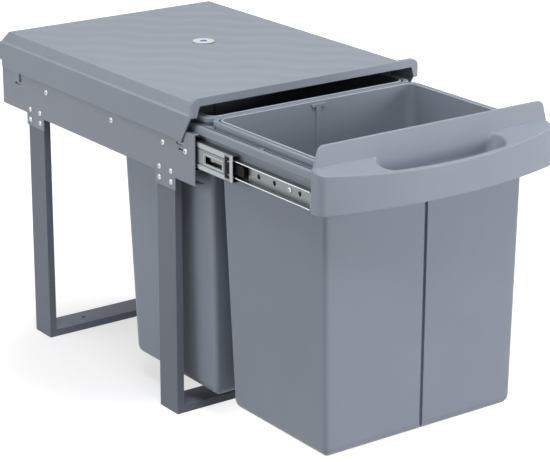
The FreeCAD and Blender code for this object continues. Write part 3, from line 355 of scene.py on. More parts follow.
@dataclass(frozen=True)
class DotFinish(Finish):
    """A paper finish with one round printed dot at a place."""

    dot_place: Place = (0.0, 0.0, 0.0)
    dot_radius: float = 5.0 * MM
    dot_blur: float = 0.4 * MM
    dot_colour: Colour = (0.05, 0.22, 0.55)

    def build(self, effects: Effects) -> bpy.types.Material:
        """Make the paper and print the dot on it.

        Args:
            effects: The shared shader effects.

        Returns:
            A node material on Object coordinates.
        """
        material = super().build(effects)
        tree = material.node_tree
        surface = next(node for node in tree.nodes if node.type == "BSDF_PRINCIPLED")
        place = next(node for node in tree.nodes if node.type == "TEX_COORD")
        paper = surface.inputs["Base Color"].links[0].from_socket
        away = add_node(tree, "ShaderNodeVectorMath", {1: self.dot_place}, operation="DISTANCE")
        tree.links.new(place.outputs["Object"], away.inputs[0])
        inside = add_range(tree, away.outputs["Value"],
                           (self.dot_radius + self.dot_blur, self.dot_radius - self.dot_blur))
        printed = add_mix(tree, inside, paper, (*self.dot_colour, 1.0))
        tree.links.new(printed, surface.inputs["Base Color"])
        return material


class FinishRack:
    """Builds each finish once and hands it out by its slot."""

    def __init__(self, finishes: Sequence[Finish]) -> None:
        """Build the materials of all finishes."""
        effects = Effects(make_grain_group(), make_edge_highlight_group(), make_groove_shade_group(), make_streak_group())
        self._materials: Dict[str, bpy.types.Material] = {
            finish.slot: finish.build(effects) for finish in finishes
        }

    def dress(self, nodes: Sequence[str], slot: str) -> None:
        """Give CAD nodes the finish of a slot.

        Args:
            nodes: Names of the nodes.
            slot: Name of the material slot.
        """
        for name in nodes:
            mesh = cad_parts[name].data
            mesh.materials.clear()
            mesh.materials.append(self._materials[slot])
            log.info("dressed %s in %s", name, slot)

    def finish(self, slot: str) -> bpy.types.Material:
        """Give the material of a slot."""
        return self._materials[slot]


# Meshes

def into_mesh(shape: bmesh.types.BMesh, name: str) -> bpy.types.Mesh:
    """Turn a shape into a mesh, and free the shape."""
    mesh = bpy.data.meshes.new(name)
    shape.to_mesh(mesh)
    shape.free()
    return mesh


def merge_into(target: bmesh.types.BMesh, shape: bmesh.types.BMesh) -> None:
    """Add a shape to another one, and free the added one."""
    target.from_mesh(into_mesh(shape, "merged"))


def add_object(name: str, data: bpy.types.ID) -> bpy.types.Object:
    """Make an object of a mesh, lamp or camera and put it in the scene."""
    item = bpy.data.objects.new(name, data)
    bpy.context.scene.collection.objects.link(item)
    return item


def into_piece(shape: bmesh.types.BMesh, name: str, material: bpy.types.Material, body: Body,
               mirrored: bool = False) -> bpy.types.Object:
    """Turn a shape into a finished piece that rides on a body.

    Args:
        shape: The shape, in place; it is freed.
        name: Name of the piece.
        material: Material of the piece.
        body: Body that carries the piece.
        mirrored: Whether the shape lies on the right side and gets a copy on the left.

    Returns:
        The new object.
    """
    if mirrored:
        geometry = shape.verts[:] + shape.edges[:] + shape.faces[:]
        bmesh.ops.mirror(shape, geom=geometry, axis="X", merge_dist=0.0)
    bmesh.ops.remove_doubles(shape, verts=shape.verts, dist=MERGE_DISTANCE)
    bmesh.ops.recalc_face_normals(shape, faces=shape.faces)
    mesh = into_mesh(shape, name)
    mesh.materials.append(material)
    piece = add_object(name, mesh)
    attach(piece, body.value)
    log.info("built %s with %d faces", name, len(mesh.polygons))
    return piece


def shade_smooth(piece: bpy.types.Object) -> None:
    """Shade a piece smoothly, with its sharp edges kept."""
    piece.data.shade_smooth()
    piece.data.set_sharp_from_angle(angle=SHARP_ANGLE)


def turned(profile: Profile, steps: int) -> bmesh.types.BMesh:
    """Turn a profile round the Z axis.

    Args:
        profile: Radius and height of each point, from the axis at the foot to the axis at the top.
        steps: Steps of the full turn.

    Returns:
        The closed turned shape.
    """
    shape = bmesh.new()
    points = [shape.verts.new((radius, 0.0, height)) for radius, height in profile]
    edges = [shape.edges.new(pair) for pair in zip(points, points[1:])]
    bmesh.ops.spin(shape, geom=points + edges, cent=(0.0, 0.0, 0.0), axis=(0.0, 0.0, 1.0),
                   dvec=(0.0, 0.0, 0.0), angle=math.tau, steps=steps, use_merge=True)
    bmesh.ops.remove_doubles(shape, verts=shape.verts, dist=MERGE_DISTANCE)
    bmesh.ops.recalc_face_normals(shape, faces=shape.faces)
    return shape


def with_cross_recess(shape: bmesh.types.BMesh, top: float, width: float, span: float,
                      depth: float) -> bpy.types.Mesh:
    """Cut a cross recess into the top of a turned head.

    Args:
        shape: The turned head; it is freed.
        top: Height of the head's top.
        width: Width of the cross's arms.
        span: Length of the cross from tip to tip.
        depth: Depth of the recess.

    Returns:
        Mesh of the head with its recess.
    """
    cross = bmesh.new()
    for across, along in ((width, span), (span, width)):
        size = Matrix.Diagonal((across, along, depth * 2, 1.0))
        bmesh.ops.create_cube(cross, size=1.0, matrix=Matrix.Translation((0.0, 0.0, top)) @ size)
    head = add_object("head", into_mesh(shape, "head"))
    cutter = add_object("cross", into_mesh(cross, "cross"))
    recess = head.modifiers.new("recess", "BOOLEAN")
    recess.operation = "DIFFERENCE"
    recess.use_self = True
    recess.object = cutter
    graph = bpy.context.evaluated_depsgraph_get()
    graph.update()
    mesh = bpy.data.meshes.new_from_object(head.evaluated_get(graph))
    for item in (head, cutter):
        bpy.data.objects.remove(item)
    return mesh


def on_both_sides(mesh: bpy.types.Mesh, places: Sequence[Place]) -> bmesh.types.BMesh:
    """Repeat a shape that points up at places on the right side, pointing outwards, and on the left.

    Args:
        mesh: The shape, with its top along Z.
        places: Places on the right side.

    Returns:
        All copies in one shape.
    """
    shape = bmesh.new()
    for side in (1.0, -1.0):
        turn = Matrix.Rotation(side * math.pi / 2, 4, "Y")
        for across, along, up in places:
            start = len(shape.verts)
            shape.from_mesh(mesh)
            shape.verts.ensure_lookup_table()
            bmesh.ops.transform(shape, matrix=Matrix.Translation((across * side, along, up)) @ turn,
                                verts=shape.verts[start:])
    return shape


def grow(shape: bmesh.types.BMesh, faces: Sequence[bmesh.types.BMFace],
         step: Sequence[float]) -> Tuple[List[bmesh.types.BMVert], List[bmesh.types.BMFace]]:
    """Extrude faces and move the new ones by a step.

    Args:
        shape: The shape that has the faces.
        faces: The faces.
        step: Way that the new faces go.

    Returns:
        The new points and the new faces.
    """
    grown = bmesh.ops.extrude_face_region(shape, geom=list(faces))["geom"]
    points = [item for item in grown if isinstance(item, bmesh.types.BMVert)]
    bmesh.ops.translate(shape, vec=step, verts=points)
    return points, [item for item in grown if isinstance(item, bmesh.types.BMFace)]


def bevel_rim(shape: bmesh.types.BMesh, points: Sequence[bmesh.types.BMVert], width: float) -> None:
    """Bevel the edges that join some points of a shape.

    Args:
        shape: The shape.
        points: Points of the rim.
        width: Width of the bevel.
    """
    rim = [edge for edge in shape.edges if all(point in points for point in edge.verts)]
    bmesh.ops.bevel(shape, geom=rim, offset=width, affect="EDGES", segments=BEVEL_STEPS, profile=0.5,
                    material=-1)


def add_plate(shape: bmesh.types.BMesh, low: Place, high: Place, bevel: float) -> None:
    """Add a flat plate that faces right, with bevelled edges round its outer face.

    Args:
        shape: The shape that gets the plate.
        low: Lowest corner.
        high: Highest corner.
        bevel: Width of the bevel.
    """
    middle = (Vector(low) + Vector(high)) / 2
    size = Matrix.Diagonal((*(Vector(high) - Vector(low)), 1.0))
    corners = bmesh.ops.create_cube(shape, size=1.0, matrix=Matrix.Translation(middle) @ size)["verts"]
    bevel_rim(shape, [point for point in corners if point.co.x > middle.x], bevel)


def add_ring(shape: bmesh.types.BMesh, place: Matrix, size: Span, corner: Tuple[float, int], width: float,
             rise: float) -> None:
    """Add a flat ring round a rectangle with round corners.

    Args:
        shape: The shape that gets the ring.
        place: Place of the ring's middle, with its axis along Z.
        size: Length and breadth over the outside.
        corner: Radius and steps of the outer corners.
        width: Width of the ring's band.
        rise: Height of the ring.
    """
    ring = bmesh.new()
    bmesh.ops.create_grid(ring, x_segments=1, y_segments=1, size=0.5,
                          matrix=Matrix.Diagonal((*size, 1.0, 1.0)))
    bmesh.ops.bevel(ring, geom=ring.verts[:], offset=corner[0], affect="VERTICES", segments=corner[1],
                    profile=0.5, material=-1)
    bmesh.ops.inset_region(ring, faces=ring.faces[:], thickness=width, use_boundary=True,
                           use_even_offset=True)
    inside = max(ring.faces, key=lambda cell: len(cell.verts))
    bmesh.ops.delete(ring, geom=[inside], context="FACES")
    grow(ring, ring.faces, (0.0, 0.0, rise))
    bmesh.ops.transform(ring, matrix=place, verts=ring.verts[:])
    merge_into(shape, ring)


# Sub-assemblies

@dataclass
class Fasteners:
    """Rivets of the legs and screws of the slides, with their real heads.

    The domes are given as shares of a head's radius and rise.
    """

    rivet_face: float = 171.0 * MM
    rivet_stations: Tuple[float, ...] = (-174.0 * MM, -148.0 * MM, 148.0 * MM, 174.0 * MM)
    rivet_levels: Tuple[float, ...] = (309.0 * MM, 323.0 * MM)
    rivet_radius: float = 3.6 * MM
    rivet_rise: float = 1.3 * MM
    rivet_dome: Profile = ((1.0, 0.3), (0.86, 0.7), (0.62, 0.94))
    rivet_shank: float = 2.4 * MM
    rivet_depth: float = 3.7 * MM
    blind_rise: float = 1.3 * MM
    blind_share: float = 0.8
    blind_chamfer: float = 0.4 * MM
    bore_radius: float = 1.1 * MM
    bore_lip: float = 0.25 * MM
    bore_chamfer: float = 0.2 * MM
    bore_share: float = 0.45
    screw_face: float = 171.0 * MM
    screw_stations: Tuple[float, ...] = (-207.15 * MM, -157.2 * MM, -36.15 * MM, 129.0 * MM)
    inner_face: float = 158.3 * MM
    inner_stations: Tuple[float, ...] = (-403.2 * MM, -198.0 * MM, -27.0 * MM)
    slide_axis: float = 356.0 * MM
    head_radius: float = 3.8 * MM
    head_rise: float = 1.6 * MM
    head_dome: Profile = ((1.0, 0.35), (0.9, 0.72), (0.7, 0.92), (0.4, 0.99))
    shank_radius: float = 1.9 * MM
    screw_depth: float = 2.4 * MM
    inner_depth: float = 3.8 * MM
    cross_width: float = 0.75 * MM
    cross_span: float = 4.2 * MM
    cross_depth: float = 0.9 * MM
    turn_steps: int = 32

    def rivet_profile(self) -> Profile:
        """Give the profile of a blind rivet: blind end, shank, domed head and the bore of its stem."""
        blind = self.rivet_depth - self.blind_rise
        bore_floor = self.rivet_rise * self.bore_share
        return [
            (0.0, -self.rivet_depth),
            (self.rivet_radius * self.blind_share, -self.rivet_depth),
            (self.rivet_radius, -self.rivet_depth + self.blind_chamfer),
            (self.rivet_radius, -blind),
            (self.rivet_shank, -blind),
            (self.rivet_shank, 0.0),
            (self.rivet_radius, 0.0),
            *((self.rivet_radius * out, self.rivet_rise * up) for out, up in self.rivet_dome),
            (self.bore_radius + self.bore_lip, self.rivet_rise),
            (self.bore_radius, self.rivet_rise - self.bore_chamfer),
            (self.bore_radius, bore_floor),
            (0.0, bore_floor),
        ]

    def screw_profile(self, depth: float) -> Profile:
        """Give the profile of a pan-head screw.

        Args:
            depth: Length of the shank below the head.

        Returns:
            Points of the profile.
        """
        return [
            (0.0, -depth),
            (self.shank_radius, -depth),
            (self.shank_radius, 0.0),
            (self.head_radius, 0.0),
            *((self.head_radius * out, self.head_rise * up) for out, up in self.head_dome),
            (0.0, self.head_rise),
        ]

    def build(self, rack: FinishRack) -> None:
        """Build the rivets and screws and let them stand for their plain nodes.

        Args:
            rack: The finishes.
        """
        zinc = rack.finish("rivet_zinc")
        rivet = into_mesh(turned(self.rivet_profile(), self.turn_steps), "rivet")
        places = [(self.rivet_face, along, up) for along in self.rivet_stations for up in self.rivet_levels]
        rivets = into_piece(on_both_sides(rivet, places), "domed_rivets", zinc, Body.CHASSIS)
        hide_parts("leg_rivets")
        shade_smooth(rivets)
        screws = self._screws("pan_head_slide_screws", self.screw_face, self.screw_stations,
                              self.screw_depth, zinc, Body.CHASSIS)
        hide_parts("slide_screws")
        inner = self._screws("pan_head_inner_screws", self.inner_face, self.inner_stations,
                             self.inner_depth, zinc, Body.PULL_OUT)
        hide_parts("inner_screws")

    def _screws(self, name: str, face: float, stations: Sequence[float], depth: float,
                material: bpy.types.Material, body: Body) -> bpy.types.Object:
        """Build one row of cross-recessed screws a side.

        Args:
            name: Name of the piece.
            face: Distance of the face under the heads from the middle.
            stations: Places along the slides.
            depth: Length of the shanks.
            material: Material of the screws.
            body: Body that carries them.

        Returns:
            The piece.
        """
        head = turned(self.screw_profile(depth), self.turn_steps)
        mesh = with_cross_recess(head, self.head_rise, self.cross_width, self.cross_span, self.cross_depth)
        places = [(face, along, self.slide_axis) for along in stations]
        piece = into_piece(on_both_sides(mesh, places), name, material, body)
        shade_smooth(piece)
        return piece


@dataclass
class Chassis:
    """Steel legs, base bars and folded side plates."""

    legs: Tuple[str, ...] = ("front_leg_left", "front_leg_right", "rear_leg_left", "rear_leg_right",
                             "front_base_bar", "rear_base_bar")
    plates: Tuple[str, ...] = ("side_plate_left", "side_plate_right")
    fasteners: Fasteners = field(default_factory=Fasteners)

    def build(self, rack: FinishRack) -> None:
        """Build the rivets and screws."""
        self.fasteners.build(rack)

    def dress(self, rack: FinishRack) -> None:
        """Dress the legs and plates in their powder coats; the legs' coat is the plates' grey darkened by
        painted shade.
        """
        rack.dress(self.legs, "leg_paint")
        rack.dress(self.plates, "plate_paint")


@dataclass
class LidCover:
    """The lid with its rippled top and a round paper seal."""

    relief_half_width: float = 161.0 * MM
    relief_front: float = -214.0 * MM
    relief_rear: float = 233.0 * MM
    relief_base: float = 417.7 * MM
    relief_sink: float = 0.5 * MM
    relief_cell: float = 3.0 * MM
    ripple_rise: float = 1.0 * MM
    ripple_pitch: float = 45.0 * MM
    ripple_sway: float = 0.9
    ripple_sway_length: float = 110.0 * MM
    ripple_margin: float = 16.0 * MM
    seal_place: Span = (19.7 * MM, 35.2 * MM)
    seal_radius: float = 15.0 * MM
    seal_thickness: float = 0.2 * MM
    seal_bevel: float = 0.08 * MM
    seal_steps: int = 64

    def ripple(self, across: float, along: float) -> float:
        """Give the height of the ripples, which fade out towards the borders.

        Args:
            across: Place along X.
            along: Place along Y.

        Returns:
            Height over the lid's top.
        """
        over_crests = (across + along) / math.sqrt(2.0)
        along_crests = (across - along) / math.sqrt(2.0)
        sway = self.ripple_sway * math.sin(math.tau * along_crests / self.ripple_sway_length)
        wave = (1.0 + math.sin(math.tau * over_crests / self.ripple_pitch + sway)) / 2
        border = min(self.relief_half_width - abs(across), along - self.relief_front,
                     self.relief_rear - along)
        share = max(0.0, min(1.0, border / self.ripple_margin))
        fade = share * share * (3.0 - 2.0 * share)
        return self.ripple_rise * wave * fade

    def build(self, rack: FinishRack) -> None:
        """Build the rippled skin and the seal on it.

        Args:
            rack: The finishes.
        """
        length = self.relief_rear - self.relief_front
        middle = (self.relief_rear + self.relief_front) / 2
        spread = Matrix.Diagonal((self.relief_half_width, length / 2, 1.0, 1.0))
        skin = bmesh.new()
        bmesh.ops.create_grid(skin, x_segments=round(self.relief_half_width * 2 / self.relief_cell),
                              y_segments=round(length / self.relief_cell), size=1.0,
                              matrix=Matrix.Translation((0.0, middle, self.relief_base)) @ spread)
        for point in skin.verts:
            point.co.z += self.ripple(point.co.x, point.co.y)
        below, _ = grow(skin, skin.faces, (0.0, 0.0, 0.0))
        for point in below:
            point.co.z = self.relief_base - self.relief_sink
        lid_plastic = rack.finish("lid_plastic")
        shade_smooth(into_piece(skin, "lid_ripples", lid_plastic, Body.CHASSIS))
        seal = bmesh.new()
        low = self.relief_base + self.ripple_rise
        bmesh.ops.create_circle(seal, cap_ends=True, segments=self.seal_steps, radius=self.seal_radius,
                                matrix=Matrix.Translation((*self.seal_place, low)))
        top, _ = grow(seal, seal.faces, (0.0, 0.0, self.seal_thickness))
        bevel_rim(seal, top, self.seal_bevel)
        into_piece(seal, "paper_seal", rack.finish("seal_paper"), Body.CHASSIS)

    def dress(self, rack: FinishRack) -> None:
        """Dress the lid."""
        rack.dress(("lid",), "lid_plastic")


@dataclass
class Slides:
    """The telescopic slides with their cages, balls, bumpers and levers.

    Half heights and the bands' and lips' places are counted from the slides' axis.
    """

    members: Tuple[str, ...] = ("outer_member_left", "outer_member_right", "middle_member_left",
                                "middle_member_right", "inner_member_left", "inner_member_right")
    pins: Tuple[str, ...] = ("lever_pins",)
    balls: Tuple[str, ...] = ("outer_balls", "inner_balls")
    cages: Tuple[str, ...] = ("outer_cage_left", "outer_cage_right", "inner_cage_left", "inner_cage_right")
    plastics: Tuple[str, ...] = ("middle_bumper_left", "middle_bumper_right", "release_lever_left",
                                 "release_lever_right")
    axis: float = 356.0 * MM
    sink: float = 0.1 * MM
    middle_face: float = 167.6 * MM
    relief_rise: float = 0.5 * MM
    relief_bevel: float = 0.2 * MM
    relief_half_height: float = 16.4 * MM
    end_wall: Span = (-301.8 * MM, -296.2 * MM)
    band: Span = (-285.8 * MM, -150.0 * MM)
    band_start: float = 10.6 * MM
    border: Span = (-283.4 * MM, -241.6 * MM)
    border_levels: Span = (347.6 * MM, 362.0 * MM)
    border_width: float = 1.7 * MM
    border_corner: Tuple[float, int] = (2.2 * MM, 4)
    comb: Span = (-296.0 * MM, -286.2 * MM)
    comb_half_height: float = 13.0 * MM
    comb_columns: int = 2
    comb_rows: int = 9
    comb_rise: float = 0.6 * MM
    inner_web: float = 158.3 * MM
    # A black sheet round the lever stands in for the shade there: painted shade.
    lever_shade: Span = (-321.5 * MM, -285.0 * MM)
    lever_shade_thickness: float = 0.4 * MM
    lever_shade_half_height: float = 9.4 * MM
    # The strips on the lips below are bright zinc of painted highlight.
    lip_face: float = 165.1 * MM
    lip: Span = (-449.5 * MM, -0.5 * MM)
    lip_near: float = 9.7 * MM
    lip_far: float = 10.9 * MM
    lip_thickness: float = 0.25 * MM
    lip_bevel: float = 0.08 * MM

    def build(self, rack: FinishRack) -> None:
        """Build the pressed relief in a lighter zinc of painted highlight, the comb, the bright strips of
        painted highlight on the lips and the black sheet of painted shade round the lever, on both slides.

        Args:
            rack: The finishes.
        """
        relief = bmesh.new()
        half = self.relief_half_height
        for span, low, high in ((self.end_wall, -half, half), (self.band, self.band_start, half),
                                (self.band, -half, -self.band_start)):
            self._add_slab(relief, (self.middle_face, self.relief_rise), span, (low, high), self.relief_bevel)
        place = Matrix.Translation((self.middle_face - self.sink, sum(self.border) / 2,
                                    sum(self.border_levels) / 2))
        size = (self.border[1] - self.border[0], self.border_levels[1] - self.border_levels[0])
        add_ring(relief, place @ FACING_RIGHT, size, self.border_corner, self.border_width,
                 self.sink + self.relief_rise)
        # The pressed relief is the member's own zinc made lighter: painted highlight.
        into_piece(relief, "pressed_relief", rack.finish("relief_highlight_zinc"), Body.MIDDLE, mirrored=True)
        black_plastic = rack.finish("black_plastic")
        into_piece(self._comb(), "bumper_comb", black_plastic, Body.MIDDLE, mirrored=True)
        # Painted highlight: bright strips along the inner members' lips.
        lips = bmesh.new()
        for levels in ((self.lip_near, self.lip_far), (-self.lip_far, -self.lip_near)):
            self._add_slab(lips, (self.lip_face, self.lip_thickness), self.lip, levels, self.lip_bevel)
        into_piece(lips, "lip_highlight_strips", rack.finish("lip_highlight_zinc"), Body.PULL_OUT, mirrored=True)
        # Painted shade: a black sheet on the inner member round the lever.
        lever_shade = bmesh.new()
        self._add_slab(lever_shade, (self.inner_web, self.lever_shade_thickness), self.lever_shade,
                       (-self.lever_shade_half_height, self.lever_shade_half_height), self.relief_bevel)
        into_piece(lever_shade, "lever_shade_sheet", black_plastic, Body.PULL_OUT, mirrored=True)

    def _add_slab(self, shape: bmesh.types.BMesh, face: Span, span: Span, levels: Span, bevel: float) -> None:
        """Add a thin plate on a face of the right slide, sunk in a little.

        Args:
            shape: The shape that gets the plate.
            face: Place of the face along X and the plate's rise over it.
            span: Ends along Y.
            levels: Ends along Z, from the slides' axis.
            bevel: Width of the bevel.
        """
        add_plate(shape, (face[0] - self.sink, span[0], self.axis + levels[0]),
                  (face[0] + face[1], span[1], self.axis + levels[1]), bevel)

    def _comb(self) -> bmesh.types.BMesh:
        """Make the bumper's comb, whose teeth point forwards.

        Returns:
            The comb on the right side.
        """
        comb = bmesh.new()
        middle = sum(self.comb) / 2
        height = self.comb_half_height * 2
        place = Matrix.Translation((self.middle_face - self.sink, middle, self.axis)) @ FACING_RIGHT
        size = Matrix.Diagonal((self.comb[1] - self.comb[0], height, 1.0, 1.0))
        bmesh.ops.create_grid(comb, x_segments=self.comb_columns, y_segments=self.comb_rows, size=0.5,
                              matrix=place @ size)
        foot = self.axis - self.comb_half_height
        row_height = height / self.comb_rows
        gaps = [cell for cell in comb.faces if cell.calc_center_median().y < middle
                and int((cell.calc_center_median().z - foot) / row_height) % 2]
        bmesh.ops.delete(comb, geom=gaps, context="FACES")
        grow(comb, comb.faces, (self.sink + self.comb_rise, 0.0, 0.0))
        return comb

    def dress(self, rack: FinishRack) -> None:
        """Dress the slides' metal and plastic pieces."""
        rack.dress(self.members + self.pins, "zinc")
        rack.dress(self.balls, "steel_balls")
        rack.dress(self.cages, "cage_plastic")
        rack.dress(self.plastics, "black_plastic")


@dataclass
class BinEdges:
    """Crisp upright edges at the bins' front corners, and pale rings of painted highlight round their mouths.
    """

    fronts: Tuple[float, ...] = (-456.5 * MM, -232.0 * MM)
    half_width: float = 150.0 * MM
    rim_level: float = 400.8 * MM
    height: float = 366.8 * MM
    side_setback: float = 6.3 * MM
    rounding: float = 13.0 * MM
    edge_radius: float = 6.0 * MM
    edge_steps: int = 6
    lap: float = 1.0 * MM
    proud: float = 0.04 * MM
    inner_share: float = 0.66
    top: float = 338.5 * MM
    foot: float = 47.0 * MM
    foot_turns: Tuple[float, ...] = (15.0, 30.0, 45.0, 60.0, 75.0, 85.0)
    # The rings round the mouths below are a painted highlight.
    mouth_inset: float = 0.9 * MM
    mouth_size: Span = (298.2 * MM, 211.2 * MM)
    mouth_level: float = 400.6 * MM
    mouth_rise: float = 0.6 * MM
    mouth_width: float = 1.0 * MM
    mouth_corner: Tuple[float, int] = (12.1 * MM, 6)

    def build(self, rack: FinishRack) -> None:
        """Build the upright edges and the mouths' painted highlights of both bins.

        Args:
            rack: The finishes.
        """
        edges = bmesh.new()
        for front in self.fronts:
            self._add_corner(edges, front)
        shade_smooth(into_piece(edges, "bin_corner_edges", rack.finish("corner_plastic"),
                                Body.PULL_OUT, mirrored=True))
        # Painted highlight: pale rings along the bins' inner rims.
        mouth_highlights = bmesh.new()
        for front in self.fronts:
            along = front + self.mouth_inset + self.mouth_size[1] / 2
            add_ring(mouth_highlights, Matrix.Translation((0.0, along, self.mouth_level)), self.mouth_size,
                     self.mouth_corner, self.mouth_width, self.mouth_rise)
        into_piece(mouth_highlights, "bin_mouth_highlights", rack.finish("mouth_highlight_plastic"), Body.PULL_OUT)

    def _middle(self, front: float, level: float) -> Vector:
        """Give the middle of a corner's rounding at a height.

        Args:
            front: Place of the bin's front along Y.
            level: The height.

        Returns:
            The middle on the right side.
        """
        drop = (self.rim_level - level) / self.height
        across = self.half_width - self.side_setback * drop - self.rounding
        return Vector((across, front + self.rounding, level))

    def _add_corner(self, edges: bmesh.types.BMesh, front: float) -> None:
        """Add one upright edge on the right side, drawn in towards the foot and rounded off there.

        Args:
            edges: The shape that gets the edge.
            front: Place of the bin's front along Y.
        """
        reach = self.rounding + self.proud
        inner = self.rounding * self.inner_share
        place = self._middle(front, self.top)
        outline = ((reach, self.lap), (reach, -reach), (-self.lap, -reach), (inner, -inner))
        edge = bmesh.new()
        points = [edge.verts.new(place + Vector((across, along, 0.0))) for across, along in outline]
        edge.faces.new(points)
        bmesh.ops.bevel(edge, geom=[points[1]], offset=self.edge_radius, affect="VERTICES",
                        segments=self.edge_steps, profile=0.5, material=-1)
        low = self._middle(front, self.foot)
        stations = [(low, 1.0)]
        for turn in self.foot_turns:
            down = Vector((0.0, 0.0, self.rounding * math.sin(math.radians(turn))))
            stations.append((low - down, math.cos(math.radians(turn))))
        cap, share = edge.faces[:], 1.0
        for station, next_share in stations:
            points, cap = grow(edge, cap, station - place)
            bmesh.ops.scale(edge, vec=(next_share / share, next_share / share, 1.0),
                            space=Matrix.Translation(-station), verts=points)
            place, share = station, next_share
        merge_into(edges, edge)


@dataclass
class PullOut:
    """The carrier with both bins, its front panel and the panel's screws."""

    carrier: Tuple[str, ...] = ("carrier_frame",)
    bins: Tuple[str, ...] = ("front_bin", "rear_bin")
    panel: Tuple[str, ...] = ("front_panel",)
    screws: Tuple[str, ...] = ("panel_screws",)
    crease_place: Span = (-468.0 * MM, 398.6 * MM)
    crease_start: float = 98.0 * MM
    crease_end: float = 171.5 * MM
    crease_radius: float = 0.9 * MM
    crease_steps: int = 12
    edges: BinEdges = field(default_factory=BinEdges)

    def build(self, rack: FinishRack) -> None:
        """Build the bins' edges with their mouths' painted highlights, and the bead along the crease of the
        panel's ledge.

        Args:
            rack: The finishes.
        """
        self.edges.build(rack)
        bead = bmesh.new()
        turn = Matrix.Rotation(math.pi / 2, 4, "Y")
        bmesh.ops.create_circle(bead, cap_ends=True, segments=self.crease_steps, radius=self.crease_radius,
                                matrix=Matrix.Translation((self.crease_start, *self.crease_place)) @ turn)
        grow(bead, bead.faces, (self.crease_end - self.crease_start, 0.0, 0.0))
        shade_smooth(into_piece(bead, "ledge_crease", rack.finish("panel_plastic"),
                                Body.PULL_OUT, mirrored=True))

    def dress(self, rack: FinishRack) -> None:
        """Dress the mouldings and screws that run out."""
        rack.dress(self.carrier, "carrier_plastic")
        rack.dress(self.bins, "bin_plastic")
        rack.dress(self.panel, "panel_plastic")
        rack.dress(self.screws, "zinc")


# Stage

@dataclass(frozen=True)
class SoftLight:
    """A soft square lamp."""

    name: str
    place: Place
    aim: Place
    side: float
    power: float

    def build(self) -> None:
        """Hang the lamp and aim it."""
        lamp = bpy.data.lights.new(self.name, "AREA")
        lamp.shape = "SQUARE"
        lamp.size = self.side
        lamp.energy = self.power
        holder = add_object(self.name, lamp)
        holder.location = self.place
        holder.rotation_euler = (Vector(self.aim) - Vector(self.place)).to_track_quat("-Z", "Y").to_euler()


